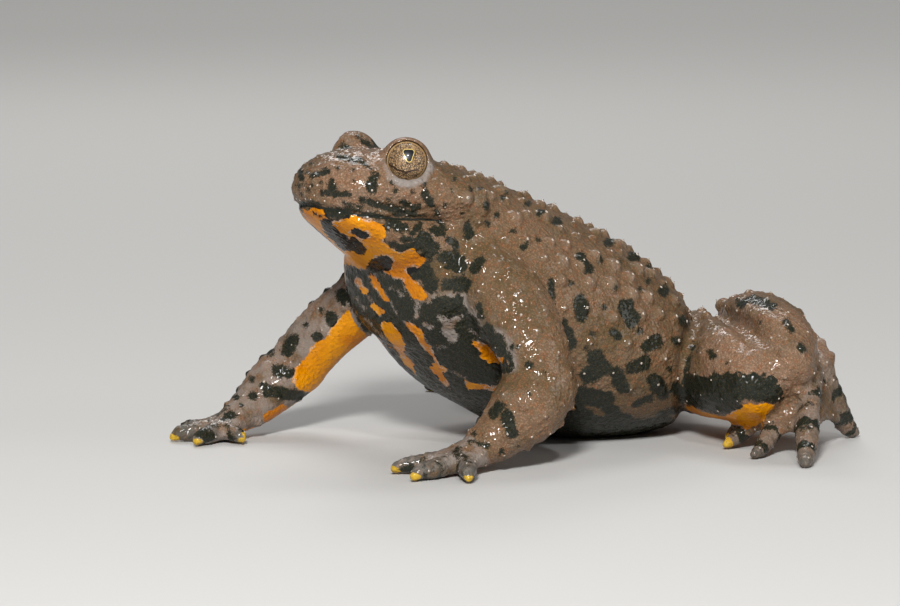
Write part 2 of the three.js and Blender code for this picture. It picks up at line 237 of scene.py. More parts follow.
EYE_RADIUS = 1.85
EYE_CENTRE = (3.3, 3.9, 24.6)
GAZE = (-0.5, 0.83, 0.2)
LID_THICKNESS = 0.3
SIDES = {"left": -1, "right": 1}


def eye_centre(side):
    return np.array([EYE_CENTRE[0], side * EYE_CENTRE[1], EYE_CENTRE[2]])


def gaze_of(side):
    gaze = np.array([GAZE[0], side * GAZE[1], GAZE[2]])
    return gaze / np.linalg.norm(gaze)


flesh = [
    form("trunk", trunk_stops, sides=64, rings=90, roundness=0.36, upright=True, sag=0.1),
    form("skull", SKULL, sides=56, rings=60, roundness=0.5, upright=True),
    form("jaw_mass", JAW, sides=56, rings=50, roundness=0.5, upright=True),
]
for side_name, side in SIDES.items():
    flesh.append(ball_at(f"lid_{side_name}", eye_centre(side), EYE_RADIUS + LID_THICKNESS))
print(len(flesh), "forms for the trunk and head")

# %% [markdown]
# ## The limbs
#
# The left arm stands back against the flank and the right one reaches forwards. The hind legs are
# folded in three: the thigh points outwards, the shank comes back behind it, and the foot points
# outwards again. The same kind of form serves for all of them, down to the last finger.

# %% Arms and legs
ARMS = {
    "left": {
        "upper_arm": [[9.0, -6.2, 15.6, 3.6, 3.6], [9.7, -9.8, 12.8, 3.3, 3.4],
                      [10.1, -12.2, 9.6, 2.9, 3.0], [10.0, -13.4, 6.8, 2.7, 2.8]],
        "forearm": [[10.3, -13.5, 6.4, 2.8, 2.8], [8.4, -13.7, 4.9, 3.0, 3.0],
                    [6.2, -13.4, 3.1, 2.3, 2.2], [4.2, -13.0, 1.8, 1.7, 1.5]],
        "palm": [[4.4, -13.0, 1.7, 1.7, 1.3], [2.9, -13.0, 1.4, 2.2, 1.1], [1.4, -13.1, 1.0, 2.3, 0.8]],
        "tips": [[1.4, -8.9], [-2.4, -10.4], [-3.2, -14.4], [-0.2, -17.8]],
    },
    "right": {
        "upper_arm": [[10.2, 5.6, 14.8, 3.0, 3.0], [8.0, 9.2, 11.6, 2.7, 2.7],
                      [5.7, 12.0, 8.6, 2.6, 2.6], [4.2, 13.5, 6.2, 2.5, 2.5]],
        "forearm": [[4.1, 13.6, 5.8, 2.5, 2.5], [1.6, 13.6, 4.3, 2.5, 2.4],
                    [-0.6, 13.3, 2.8, 2.0, 1.9], [-2.6, 13.0, 1.9, 1.6, 1.4]],
        "palm": [[-2.5, 13.0, 1.8, 1.6, 1.3], [-3.8, 13.0, 1.3, 2.0, 1.0], [-5.0, 13.0, 0.9, 2.1, 0.8]],
        "tips": [[-4.2, 9.6], [-8.0, 11.0], [-8.2, 14.4], [-5.4, 17.4]],
    },
}
LEGS = {
    "left": {
        "thigh": [[33.0, -3.6, 5.8, 4.6, 4.6], [31.4, -10.0, 6.1, 4.5, 4.4], [29.8, -16.2, 6.3, 4.1, 4.1],
                  [29.4, -18.4, 6.4, 3.6, 3.7]],
        "shank": [[30.4, -19.0, 7.0, 3.4, 3.5], [32.6, -16.0, 8.3, 3.6, 3.6], [35.4, -10.4, 8.9, 3.4, 3.4],
                  [37.6, -5.2, 8.6, 2.6, 2.6]],
        "tarsus": [[38.2, -4.8, 7.6, 2.1, 2.1], [38.8, -8.8, 7.8, 1.8, 1.7], [38.0, -12.8, 7.6, 2.1, 1.6],
                   [36.2, -16.0, 6.6, 2.5, 1.4]],
    },
    "right": {
        "thigh": [[33.0, 3.6, 5.6, 4.5, 4.5], [31.2, 10.0, 5.8, 4.4, 4.3], [29.4, 16.2, 6.0, 4.0, 4.0],
                  [28.9, 18.4, 6.0, 3.6, 3.6]],
        "shank": [[29.8, 19.0, 6.6, 3.4, 3.5], [31.8, 16.0, 7.4, 3.5, 3.5], [34.4, 10.6, 7.2, 3.2, 3.2],
                  [36.2, 5.6, 6.2, 2.5, 2.5]],
        "tarsus": [[37.0, 5.0, 5.2, 2.0, 2.0], [38.0, 8.8, 6.0, 1.8, 1.7], [37.6, 12.8, 6.6, 2.1, 1.6],
                   [36.2, 16.0, 6.2, 2.5, 1.4]],
    },
}
FINGER_RADII = [0.7, 0.8, 0.85, 0.75]
FINGER_SPACING = 0.9
TOE_ROOTS = [[33.0, 13.8, 3.4], [33.2, 15.8, 4.0], [33.9, 17.4, 5.2], [34.8, 18.2, 6.4], [36.6, 17.0, 6.6]]
TOE_TIPS = [[30.0, 13.0], [27.6, 15.8], [26.4, 21.2], [27.0, 27.0], [41.0, 16.8]]
TOE_RADII = [0.65, 0.75, 0.85, 1.0, 0.95]
TIP_HEIGHT = 0.42
DIGIT_SHARES = [0, 0.35, 0.62, 0.85, 1]  # how far along a digit each of its stations lies
DIGIT_THICKNESS = [1.15, 1.0, 0.98, 0.76, 0.52]  # in radii of the digit
FINGER_ARCH = 0.25
TOE_ARCH = 0.2


def digit_stops(root, tip, radius, arch):
    """A finger or toe: it arches over a knuckle and comes down to a blunt tip on the floor."""
    heights = [root[2], root[2] * 0.62 + arch, root[2] * 0.25 + arch + 0.25, TIP_HEIGHT + 0.35, TIP_HEIGHT]
    return [
        [root[0] + (tip[0] - root[0]) * s, root[1] + (tip[1] - root[1]) * s, z, radius * k, radius * k]
        for s, z, k in zip(DIGIT_SHARES, heights, DIGIT_THICKNESS)
    ]


limb_lines = {}
for side_name, parts in list(ARMS.items()) + list(LEGS.items()):
    for part, stops in parts.items():
        if part != "tips":
            up = (1, 0, 0) if part == "upper_arm" else (0, 0, 1)
            flesh.append(form(f"{part}_{side_name}", stops, up=up, roundness=0.7 if part == "palm" else 1.0))
            limb_lines[f"{part}_{side_name}"] = stops
print(len(flesh), "forms with the limbs")

# %% Fingers, toes and webs
digit_lines = {}


def add_digit(name, stops):
    digit_lines[name] = stops
    flesh.append(form(name, stops, sides=20, rings=40))


def add_web(name, first, second, reach=0.68, hollow=0.32, thickness=0.6):
    """The skin between two toes: a grid bent between their lines, with a free edge that curves in."""
    bpy.ops.mesh.primitive_grid_add(x_subdivisions=16, y_subdivisions=12, size=1.0)
    item = bpy.context.object
    item.name = name
    flat = places_of(item.data) + 0.5
    along, across = flat[:, 0], flat[:, 1]
    at = reach * along * (1 - hollow * np.sin(math.pi * across))
    edge_a = smooth_points(np.array(first)[:, :3], at)
    edge_b = smooth_points(np.array(second)[:, :3], at)
    sheet = edge_a + (edge_b - edge_a) * across[:, None]
    put_places(item.data, (sheet + FRAME_SHIFT) * MM)
    apply_modifier(item, "SOLIDIFY", thickness=thickness * MM, offset=0.0)
    return item


for side_name, side in SIDES.items():
    arm = ARMS[side_name]
    front = arm["palm"][-1]
    outwards = math.copysign(1, arm["tips"][3][1] - arm["tips"][0][1])
    for i, tip in enumerate(arm["tips"]):
        root = [front[0] + 0.6, front[1] + (i - 1.5) * FINGER_SPACING * outwards, front[2] + 0.1]
        add_digit(f"finger_{side_name}_{i}", digit_stops(root, tip, FINGER_RADII[i], FINGER_ARCH))
    toes = []
    for i, (root, tip) in enumerate(zip(TOE_ROOTS, TOE_TIPS)):
        root, tip = [root[0], side * root[1], root[2]], [tip[0], side * tip[1]]
        stops = digit_stops(root, tip, TOE_RADII[i], TOE_ARCH)
        add_digit(f"toe_{side_name}_{i}", stops)
        toes.append(stops)
    for i in range(len(toes) - 1):
        flesh.append(add_web(f"web_{side_name}_{i}", toes[i], toes[i + 1]))
print(len(flesh), "forms with the digits and webs")

# %% [markdown]
# ## Lids
#
# A toad's eye sits in a round bump. Its upper lid is the bump itself, with a rolled rim, and the
# lower lid is a soft pouch below the eye. Flesh fills the corners of the lids before and behind the
# eye. The rim could be sculpted, but a torus round the gaze is already that shape, so it joins the
# flesh. The opening and the crease below the lower lid come later, once all is one skin.

# %% Lid rims and lower lids
RIM_RADIUS = 1.8
RIM_THICKNESS = 0.17
POUCH_RADIUS = 1.98
POUCH_SPAN = (195, 345)  # degrees round the gaze
POUCH_FORWARD = 0.75
POUCH_THICKNESS = 0.4
SOCKET = [(-1.95, 0.6), (-1.4, 1.3), (0.0, 1.9), (1.3, 1.3), (1.8, 0.6)]  # mm beside the eye's middle, radius


def gaze_frame(side):
    """The two axes across the gaze, sideways and up, and the gaze itself."""
    gaze = gaze_of(side)
    sideways = np.cross([0, 0, 1], gaze)
    sideways /= np.linalg.norm(sideways)
    return sideways, np.cross(gaze, sideways), gaze


def from_eye(points, side):
    """How far points lie beside, above and before an eye's middle, along its gaze, in mm."""
    offset = points - eye_centre(side)
    return [offset @ axis for axis in gaze_frame(side)]


def add_lids(side_name, side):
    sideways, above, gaze = gaze_frame(side)
    centre = eye_centre(side)
    rim_depth = math.sqrt((EYE_RADIUS + 0.05) ** 2 - RIM_RADIUS**2)
    place = (centre + gaze * rim_depth + FRAME_SHIFT) * MM
    turn = Vector(gaze).to_track_quat("Z", "Y").to_euler()
    bpy.ops.mesh.primitive_torus_add(
        location=place, rotation=turn, major_radius=RIM_RADIUS * MM, minor_radius=RIM_THICKNESS * MM,
        major_segments=48, minor_segments=16,
    )
    rim = bpy.context.object
    rim.name = f"rim_{side_name}"
    bpy.ops.object.transform_apply(location=True, rotation=True, scale=True)
    stops = []
    for degrees in np.linspace(*POUCH_SPAN, 6):
        turn = math.radians(degrees)
        round_gaze = sideways * math.cos(turn) + above * math.sin(turn)
        spot = centre + round_gaze * POUCH_RADIUS + gaze * POUCH_FORWARD
        stops.append([*spot, POUCH_THICKNESS, POUCH_THICKNESS])
    corners = [[*(centre + sideways * across), reach, reach] for across, reach in SOCKET]
    pouch = form(f"pouch_{side_name}", stops, sides=16, rings=40)
    return [rim, pouch, form(f"socket_{side_name}", corners)]


for side_name, side in SIDES.items():
    flesh.extend(add_lids(side_name, side))
print(len(flesh), "forms with the lids")

# %% [markdown]
# ## One skin
#
# Flesh has no seams, so the forms are joined and remeshed into one closed skin of even small faces.
# The remesh leaves sharp creases where two forms cross. Smoothing all over would thin the fingers,
# so only the hollows are filled: a point moves to the middle of its neighbours only if that carries
# it outwards. Fingers, toes and the folded leg keep their creases, so they are filled less.


# %% Helpers for smoothing
def edges_of(mesh):
    edges = np.empty(len(mesh.edges) * 2, np.int32)
    mesh.edges.foreach_get("vertices", edges)
    return edges.reshape(-1, 2)


def neighbour_mean(places, edges, count):
    total = np.zeros_like(places)
    for axis in range(3):
        total[:, axis] = np.bincount(edges[:, 0], places[edges[:, 1], axis], len(places))
        total[:, axis] += np.bincount(edges[:, 1], places[edges[:, 0], axis], len(places))
    return total / count[:, None]


def relax(item, rounds, outward_only=False, weight=1.0):
    """Moves each point towards the middle of its neighbours, or only as far as that is outwards."""
    mesh = item.data
    edges = edges_of(mesh)
    places = places_of(mesh)
    count = np.bincount(edges.ravel(), minlength=len(places)).astype(float)
    share = np.reshape(weight, (-1, 1))
    for step in range(rounds):
        move = neighbour_mean(places, edges, count) - places
        if outward_only:
            if step % 5 == 0:
                put_places(mesh, places)
                normals = normals_of(mesh)
            move = np.maximum(0, (move * normals).sum(axis=1))[:, None] * normals
        places = places + move * share
    put_places(mesh, places)


def smooth_step(value, low, high):
    share = np.clip((value - low) / (high - low), 0, 1)
    return share * share * (3 - 2 * share)


def pose_places(item):
    """The points of a piece in the pose's own millimetres."""
    return places_of(item.data) / MM - FRAME_SHIFT


# %% Join, remesh and fill
FIRST_VOXEL = 0.2
VOXEL = 0.16
FILL_ROUNDS = 34
FILL_SHARES = {"hand": 0.3, "foot": 0.3, "shank": 0.12, "tarsus": 0.3, "palm": 0.5}
LEG_FILL_SHARE = 0.35


def nearest_part(points):
    """The limb part whose line each point is nearest to, counted in that part's own thickness."""
    names = list(limb_lines) + ["hand_left", "hand_right", "foot_left", "foot_right", "trunk"]
    best = np.full(len(points), np.inf)
    part = np.full(len(points), len(names) - 1)
    lines = {**limb_lines, "trunk": trunk_stops + SKULL, **digit_lines}
    for name, stops in lines.items():
        if name.startswith("finger"):
            label = "hand_" + name.split("_")[1]
        elif name.startswith("toe"):
            label = "foot_" + name.split("_")[1]
        else:
            label = name
        at = np.linspace(0, 1, 15)
        centres = smooth_points(np.array(stops)[:, :3], at)
        sizes = smooth_points(np.array(stops)[:, 3:], at).mean(axis=1)
        if name == "trunk":
            centres, sizes = np.array(stops)[:, :3], np.array(stops)[:, 3:].min(axis=1)
            offset = (points[:, None, :] - centres[None]) / np.array(stops)[None, :, 3:4] * [1, 1, 1.3]
            away = np.sqrt((offset**2).sum(axis=2)).min(axis=1)
        else:
            away = (np.linalg.norm(points[:, None, :] - centres[None], axis=2) / sizes).min(axis=1)
        closer = away < best
        best[closer] = away[closer]
        part[closer] = names.index(label)
    return np.array(names), part


select_only(*flesh)
bpy.ops.object.join()
skin = bpy.context.object
skin.name = "toad_skin"
apply_modifier(skin, "REMESH", mode="VOXEL", voxel_size=FIRST_VOXEL * MM, use_smooth_shade=True)
part_names, part = nearest_part(pose_places(skin))
fill_weight = np.ones(len(part))
for prefix, share in FILL_SHARES.items():
    for index, name in enumerate(part_names):
        if name.startswith(prefix):
            fill_weight[part == index] = share
places = pose_places(skin)
fill_weight[(places[:, 0] > 27) & (np.abs(places[:, 1]) > 8)] *= LEG_FILL_SHARE
relax(skin, FILL_ROUNDS, outward_only=True, weight=fill_weight)
relax(skin, 3, weight=0.5)
print("skin before the openings:", len(skin.data.vertices), "points")

# %% [markdown]
# ## Eye openings, nostrils and mouth
#
# The seats of the eyes and the nostrils are holes, so they are cut with a Boolean modifier by a few
# balls and rods. A second remesh gives the cut rims even faces again. The closed mouth is a shallow
# groove with a fuller lip above it, pressed in by moving points near its line.

# %% Cut the openings
OPENING_RADIUS = 1.7
NOSTRIL = (-1.5, 1.2, 25.35)
NOSTRIL_RADIUS = 0.34
cutters = []
for side_name, side in SIDES.items():
    gaze = gaze_of(side)
    cutters.append(ball_at(f"seat_{side_name}", eye_centre(side), EYE_RADIUS + 0.03))
    reach = EYE_RADIUS * 1.5
    place = (eye_centre(side) + gaze * reach / 2 + FRAME_SHIFT) * MM
    bpy.ops.mesh.primitive_cylinder_add(
        vertices=48, radius=OPENING_RADIUS * MM, depth=reach * MM, location=place,
        rotation=Vector(gaze).to_track_quat("Z", "Y").to_euler(),
    )
    bpy.ops.object.transform_apply(location=True, rotation=True, scale=True)
    cutters.append(bpy.context.object)
    nostril = (NOSTRIL[0], side * NOSTRIL[1], NOSTRIL[2])
    cutters.append(ball_at(f"nostril_{side_name}", nostril, NOSTRIL_RADIUS, sides=16, rings=12))
for cutter in cutters:
    apply_modifier(skin, "BOOLEAN", operation="DIFFERENCE", solver="MANIFOLD", object=cutter)
    bpy.data.objects.remove(cutter)
apply_modifier(skin, "REMESH", mode="VOXEL", voxel_size=VOXEL * MM, use_smooth_shade=True)
relax(skin, 2, weight=0.5)
print("skin with its openings:", len(skin.data.vertices), "points")

# %% Press in the mouth
MOUTH_LINE_X = [-6.0, -4.8, -4.4, -3.9, -2.8, -1.5, 0.0, 1.5, 4.5, 5.6, 6.6]
MOUTH_LINE_Z = [21.55, 21.5, 21.4, 21.16, 20.88, 20.56, 20.36, 20.16, 19.96, 19.75, 19.2]
GROOVE_DEPTH = 0.42
GROOVE_WIDTH = 0.19
LIP_FULLNESS = 0.12
LIP_HEIGHT, LIP_WIDTH = 0.55, 0.42
CHIN_HEIGHT, CHIN_WIDTH = -0.5, 0.45
MOUTH_END_X = (6.6, 4.6)  # where the groove has ended, and where it is still whole
MOUTH_HALF_WIDTH = 8.5


def mouth_height(points):
    return points[:, 2] - np.interp(points[:, 0], MOUTH_LINE_X, MOUTH_LINE_Z)


def mouth_share(points):
    """1 along the mouth, falling to 0 at its corners."""
    return smooth_step(points[:, 0], *MOUTH_END_X) * (np.abs(points[:, 1]) < MOUTH_HALF_WIDTH)


def bell(value, middle, width):
    return np.exp(-(((value - middle) / width) ** 2))


points = pose_places(skin)
normals = normals_of(skin.data)
height = mouth_height(points)
along_mouth = mouth_share(points)
outwards = normals * [1, 1, 0.2]
press = -GROOVE_DEPTH * bell(height, 0, GROOVE_WIDTH)
lip = LIP_FULLNESS * bell(height, LIP_HEIGHT, LIP_WIDTH)
chin = LIP_FULLNESS * bell(height, CHIN_HEIGHT, CHIN_WIDTH)
points += outwards * ((press + (lip - chin)) * along_mouth)[:, None]
put_places(skin.data, (points + FRAME_SHIFT) * MM)
relax(skin, 1, weight=0.3)
print("mouth pressed in over", int((along_mouth > 0).sum()), "points")

# %% [markdown]
# ## Folds
#
# Where the thigh meets the shank or the flank, and the arm the chest, wet skin lies in a deep fold.
# Each fold runs where the surfaces of two forms cross, so the points that are near both surfaces are
# pressed in. A shallow crease round the lower lid is pressed in the same way.


# %% Press in the folds
def surface_gap(points, stops):
    """How far points are from the surface of a round form along a line."""
    at = np.linspace(0, 1, 25)
    centres = smooth_points(np.array(stops)[:, :3], at)
    sizes = smooth_points(np.array(stops)[:, 3:], at).mean(axis=1)
    away = np.linalg.norm(points[:, None, :] - centres[None], axis=2) - sizes
    return away.min(axis=1)


def trunk_gap(points):
    """The same for the trunk, whose stations are upright ovals."""
    x, low, high, wide = np.array(TRUNK).T
    middle = np.interp(points[:, 0], x, (low + high) / 2)
    half_high = np.interp(points[:, 0], x, (high - low) / 2)
    half_wide = np.interp(points[:, 0], x, wide)
    reach = np.hypot(points[:, 1] / half_wide, (points[:, 2] - middle) / half_high)
    return (reach - 1) * np.minimum(half_wide, half_high)


FOLDS = [  # the two forms, depth and half width in mm
    ("thigh", "shank", 1.1, 0.7), ("thigh", "trunk", 1.0, 0.7), ("upper_arm", "trunk", 0.45, 0.7),
    ("shank", "tarsus", 0.35, 0.5), ("shank", "trunk", 0.6, 0.7),
]
LID_CREASE_RADIUS = 2.5
LID_CREASE_DEPTH = 0.22
LID_CREASE_WIDTH = 0.16
points = pose_places(skin)
normals = normals_of(skin.data)
press = np.zeros(len(points))
for first, second, depth, width in FOLDS:
    for side_name, side in SIDES.items():
        near = (points[:, 1] * side > 0) & (np.abs(points[:, 1]) > 2.5)
        gap_a = surface_gap(points[near], limb_lines[f"{first}_{side_name}"])
        if second == "trunk":
            gap_b = trunk_gap(points[near])
        else:
            gap_b = surface_gap(points[near], limb_lines[f"{second}_{side_name}"])
        fold = depth * np.exp(-(np.maximum(gap_a, 0) ** 2 + np.maximum(gap_b, 0) ** 2) / width**2)
        both = (gap_a > -0.6) & (gap_b > -0.6)
        press[near] = np.maximum(press[near], fold * both)
for side in SIDES.values():
    beside, above, before = from_eye(points, side)
    under_eye = smooth_step(above, 0.2, -0.8) * (before > -1.2)
    press += LID_CREASE_DEPTH * bell(np.hypot(beside, above), LID_CREASE_RADIUS, LID_CREASE_WIDTH) * under_eye
put_places(skin.data, (points - normals * press[:, None] + FRAME_SHIFT) * MM)
relax(skin, 4, weight=0.4)
print("deepest fold", round(float(press.max()), 2), "mm")

# %% [markdown]
# ## Markings
#
# Above, the skin is brown with dark blotches. Below, it is orange with black patches, whose edges
# are pale. A painted image is ruled out by the way the toad is made here, and small faces can't
# hold a sharp edge as a colour. So each point keeps how far, in millimetres, it lies inside a dark
# patch and inside the belly's colour. The material turns these two smooth fields into sharp edges.
#
# The patches that the photo shows are strokes, each a radius in pixels and the points of its middle
# line, or closed outlines, in the photo's 900 by 606 frame. The camera above carries them on to the
# skin. Toes and fingers stand elsewhere on a level floor than on the photo's rock, so their bands and
# yellow tips are placed by their share of each digit's length instead.

# %% Patches on the head, back and limbs
DARK_ON_HEAD = [
    (3, [(313, 176), (328, 171)]), (4, [(332, 183), (333, 192)]), (3, [(323, 193), (350, 194)]),
    (5.5, [(373, 178), (373, 188)]), (2.2, [(338, 157), (359, 161), (371, 169)]), (2.6, [(353, 169)]),
    (3.6, [(362, 199), (384, 207), (413, 213)]), (3, [(401, 202), (418, 207)]),
    (4.5, [(425, 195), (430, 203)]), (2.6, [(396, 190)]), (1.8, [(300, 186)]), (1.8, [(306, 184)]),
    (2, [(312, 186)]), (2.8, [(362, 140), (371, 148)]), (2, [(343, 143)]), (2.6, [(425, 186)]),
    (3.6, [(436, 213)]), (2, [(301, 195)]), (2.4, [(445, 205)]), (7, [(478, 268)]), (4, [(524, 247)]),
    (4.6, [(504, 265)]), (3, [(469, 232)]), (2.6, [(497, 215)]), (3, [(374, 140), (377, 147)]),
    (2.4, [(358, 137)]), (2, [(341, 146), (350, 148)]), (3, [(299, 168), (302, 178)]),
    (2.6, [(298, 185)]), (2.2, [(307, 172)]), (1.8, [(312, 163)]), (2, [(345, 203), (362, 207)]),
    (1.8, [(388, 199)]), (1.8, [(322, 183)]), (2.2, [(307, 192)]), (2, [(354, 180)]), (2.2, [(412, 192)]),
    (1.8, [(392, 184)]), (1.8, [(337, 170)]), (2, [(452, 191)]), (2.4, [(462, 214)]),
    (5, [(468, 226), (470, 238)]), (3, [(486, 224)]), (2.6, [(455, 178)]), (2.4, [(481, 190)]),
    (3, [(515, 262)]),
]
DARK_ON_FLANK = [
    (6, [(580, 258), (588, 269)]), (7, [(580, 301), (582, 315)]), (3.4, [(604, 307)]),
    (7.4, [(626, 306), (631, 321)]), (4.8, [(612, 332), (617, 336)]), (6.8, [(562, 325), (570, 344)]),
    (5.6, [(563, 352), (568, 370)]), (9, [(596, 358), (602, 369), (589, 375)]),
    (7.6, [(616, 373), (622, 386)]), (6.8, [(633, 368), (645, 362)]), (6.6, [(648, 346), (656, 341)]),
    (3, [(670, 369)]), (7.6, [(655, 381), (662, 392)]), (9, [(580, 396), (606, 400)]), (5, [(609, 242)]),
    (6, [(633, 256)]), (6.4, [(663, 291)]), (6.4, [(684, 321)]), (5.2, [(557, 222)]), (2.6, [(470, 190)]),
    (3.6, [(527, 205)]), (3, [(503, 198)]), (4, [(486, 205)]), (3.4, [(512, 232)]), (3, [(538, 240)]),
    (3, [(648, 282)]), (5, [(676, 341)]), (3.4, [(540, 214)]), (3, [(598, 222)]), (4, [(649, 268)]),
    (3.4, [(551, 281), (553, 310)]), (6, [(676, 388), (686, 400)]), (4, [(660, 414), (680, 410)]),
    (4.6, [(582, 390)]), (3, [(600, 420)]), (3, [(640, 330)]), (2.6, [(592, 334)]), (2.4, [(612, 290)]),
    (2.8, [(660, 312)]), (2.4, [(600, 262)]), (7, [(604, 402), (612, 410)]),
    (4, [(636, 404), (650, 398)]), (3, [(571, 284)]), (2.4, [(640, 290)]), (2.2, [(620, 262)]),
    (3, [(586, 348)]),
]
DARK_ON_ARM = [
    (3.6, [(480, 306), (482, 316)]), (5.2, [(488, 328), (491, 336)]), (3.4, [(500, 337)]),
    (3.2, [(513, 347)]), (3, [(526, 364), (531, 367)]), (5.2, [(500, 405), (494, 414)]),
    (6, [(506, 414), (512, 432)]), (3.4, [(476, 443), (486, 446)]), (4.6, [(460, 452), (468, 462)]),
    (3, [(501, 451)]), (2.2, [(530, 394)]), (3, [(474, 434)]), (2, [(541, 402)]), (1.8, [(520, 347)]),
    (2, [(545, 372)]), (2.2, [(517, 446)]),
]
DARK_ON_FAR_ARM = [
    (6, [(331, 317), (334, 323)]), (8, [(343, 296), (352, 301)]), (5.4, [(318, 337)]),
    (6.6, [(294, 341), (287, 351)]), (5.6, [(276, 370), (288, 373)]), (3.6, [(263, 385)]),
    (2.8, [(253, 379)]), (4.6, [(253, 396)]), (6, [(268, 391), (302, 396)]),
    (4.6, [(218, 415), (226, 409)]), (3.6, [(211, 426), (230, 425)]), (2.6, [(241, 406)]),
    (3.4, [(322, 309)]), (3, [(236, 398)]), (4, [(270, 352)]), (3, [(306, 325)]), (3, [(196, 428)]),
]
DARK_ON_THIGH = [
    (2.8, [(690, 358), (684, 374)]), (3.8, [(694, 347), (694, 350)]), (3.3, [(712, 352), (713, 356)]),
    (1.6, [(727, 363)]),
]
DARK_ON_SHANK = [
    (4, [(741, 304), (753, 299), (772, 307)]), (3, [(786, 322), (792, 330)]), (2.4, [(724, 312)]),
    (2, [(760, 322)]), (2.4, [(800, 345), (803, 352)]),
]
DARK_ON_FOOT = [
    (2.8, [(792, 390), (813, 388)]), (3.4, [(795, 408), (812, 404)]), (4.2, [(796, 427), (818, 426)]),
    (4.4, [(806, 446)]), (2, [(822, 378), (827, 384)]), (2.4, [(830, 398)]),
    (3, [(836, 378), (843, 392), (851, 410)]), (2.2, [(840, 412)]), (4.6, [(777, 414), (768, 424)]),
    (4, [(760, 440)]), (3.4, [(738, 428), (734, 434)]), (2.6, [(846, 424)]), (2, [(818, 362)]),
    (2.4, [(784, 404)]), (2, [(790, 418)]), (2.4, [(752, 428)]),
]

# %% Patches on the throat, chest and belly
THROAT_ORANGE = [
    (300, 206), (308, 210), (316, 206), (323, 210), (327, 217), (338, 220), (350, 215), (358, 216),
    (370, 220), (383, 224), (387, 233), (384, 241), (392, 248), (402, 251), (414, 248), (420, 254),
    (430, 259), (421, 265), (417, 270), (410, 274), (418, 283), (427, 293), (425, 300), (415, 300),
    (406, 290), (402, 280), (393, 277), (383, 273), (368, 268), (356, 268), (340, 262), (330, 250),
    (316, 232), (306, 218),
]
CHEST_ORANGE = [
    [
        (380, 322), (388, 320), (400, 332), (406, 344), (404, 352), (412, 360), (420, 378), (408, 368),
        (396, 350), (386, 335),
    ],
    [
        (403, 320), (412, 322), (424, 332), (426, 341), (436, 354), (438, 362), (450, 370), (443, 373),
        (452, 389), (440, 383), (430, 368), (434, 360), (425, 350), (416, 338),
    ],
    [
        (469, 340), (482, 341), (498, 354), (506, 358), (511, 368), (500, 362), (490, 363), (478, 357),
        (480, 352), (472, 344),
    ],
    [
        (462, 379), (475, 383), (490, 386), (506, 385), (500, 394), (484, 389), (468, 390),
    ],
    [
        (560, 404), (572, 397), (576, 409), (560, 413),
    ],
]
NECK_ORANGE = [
    (3, [(357, 280), (366, 292)]), (3, [(371, 275), (381, 291), (387, 300)]),
    (3.4, [(372, 305), (382, 313)]),
]
THROAT_DARK = [
    (2.4, [(300, 203), (320, 204)]), (5, [(329, 212), (345, 214)]),
    (2.4, [(348, 209), (372, 214), (386, 219)]), (5.8, [(326, 224), (336, 235), (345, 246)]),
    (4, [(355, 231), (366, 236)]), (5.5, [(353, 243), (361, 249)]), (8, [(375, 266), (385, 263)]),
    (3.2, [(391, 243), (402, 248), (414, 244)]), (6, [(412, 272), (420, 274)]),
    (1.8, [(314, 213), (320, 216)]),
]
DARK_CHEST = [
    (345, 266), (360, 268), (384, 275), (400, 279), (405, 291), (416, 301), (428, 300), (442, 297),
    (462, 296), (466, 310), (478, 320), (484, 332), (500, 334), (508, 346), (514, 368), (520, 385),
    (548, 402), (566, 396), (584, 404), (600, 416), (622, 411), (640, 419), (664, 416), (690, 422),
    (690, 450), (440, 450), (400, 374), (366, 335), (348, 300),
]
DARK_CHEEK = [
    (5, [(390, 224), (402, 228)]), (4, [(412, 232), (420, 226)]), (9, [(424, 240), (432, 250)]),
    (5, [(434, 229), (442, 232)]), (9, [(446, 258), (458, 264)]), (6, [(474, 268), (481, 261)]),
    (8, [(424, 268), (434, 288)]), (7, [(448, 284), (466, 285)]), (5, [(428, 262)]),
    (3, [(440, 222), (446, 228)]), (4, [(450, 240), (456, 248)]), (3, [(404, 238), (412, 240)]),
    (2.4, [(462, 275)]), (2, [(395, 214), (424, 217)]), (3, [(386, 230)]),
]
PALE_ON_CHEST = [
    (1.6, [(434, 258), (441, 250)]), (1.4, [(439, 263), (446, 262)]),
    (1.8, [(436, 277), (446, 278), (456, 277)]), (2.2, [(441, 280), (440, 291), (430, 298)]),
    (2, [(444, 293), (460, 292)]), (2.2, [(430, 299), (418, 303), (417, 316)]),
    (1.5, [(403, 296), (398, 290), (390, 287)]), (3, [(441, 318), (450, 321), (462, 316)]),
    (6, [(447, 328), (452, 337)]), (2, [(425, 324), (432, 327)]),
    (1.2, [(396, 312), (388, 300), (376, 290)]), (1.2, [(372, 300), (360, 286)]),
    (1.4, [(424, 339), (430, 347)]), (1.2, [(454, 372), (466, 379)]), (1.2, [(470, 330), (478, 338)]),
    (1.2, [(366, 318), (376, 330), (392, 345), (400, 358)]), (1.4, [(438, 346), (446, 346)]),
    (1.2, [(355, 297), (364, 310)]),
]
FAR_ARM_ORANGE = [
    (356, 304), (368, 331), (360, 346), (342, 366), (328, 388), (312, 394), (300, 389), (290, 381),
    (296, 367), (308, 356), (310, 347), (325, 338), (331, 326), (341, 316), (350, 308),
]
FAR_HAND_ORANGE = [(6.5, [(270, 417), (281, 411)]), (5, [(246, 434), (253, 431)])]
THIGH_BAND = [
    (680, 370), (697, 375), (710, 376), (730, 374), (750, 373), (770, 375), (798, 372), (800, 384),
    (788, 397), (777, 403), (764, 402), (743, 400), (740, 408), (724, 415), (703, 412), (690, 405),
    (680, 398),
]
THIGH_ORANGE = [
    (660, 414), (681, 401), (690, 406), (705, 414), (724, 417), (740, 406), (765, 403), (775, 404),
    (764, 420), (742, 432), (710, 434), (670, 432),
]


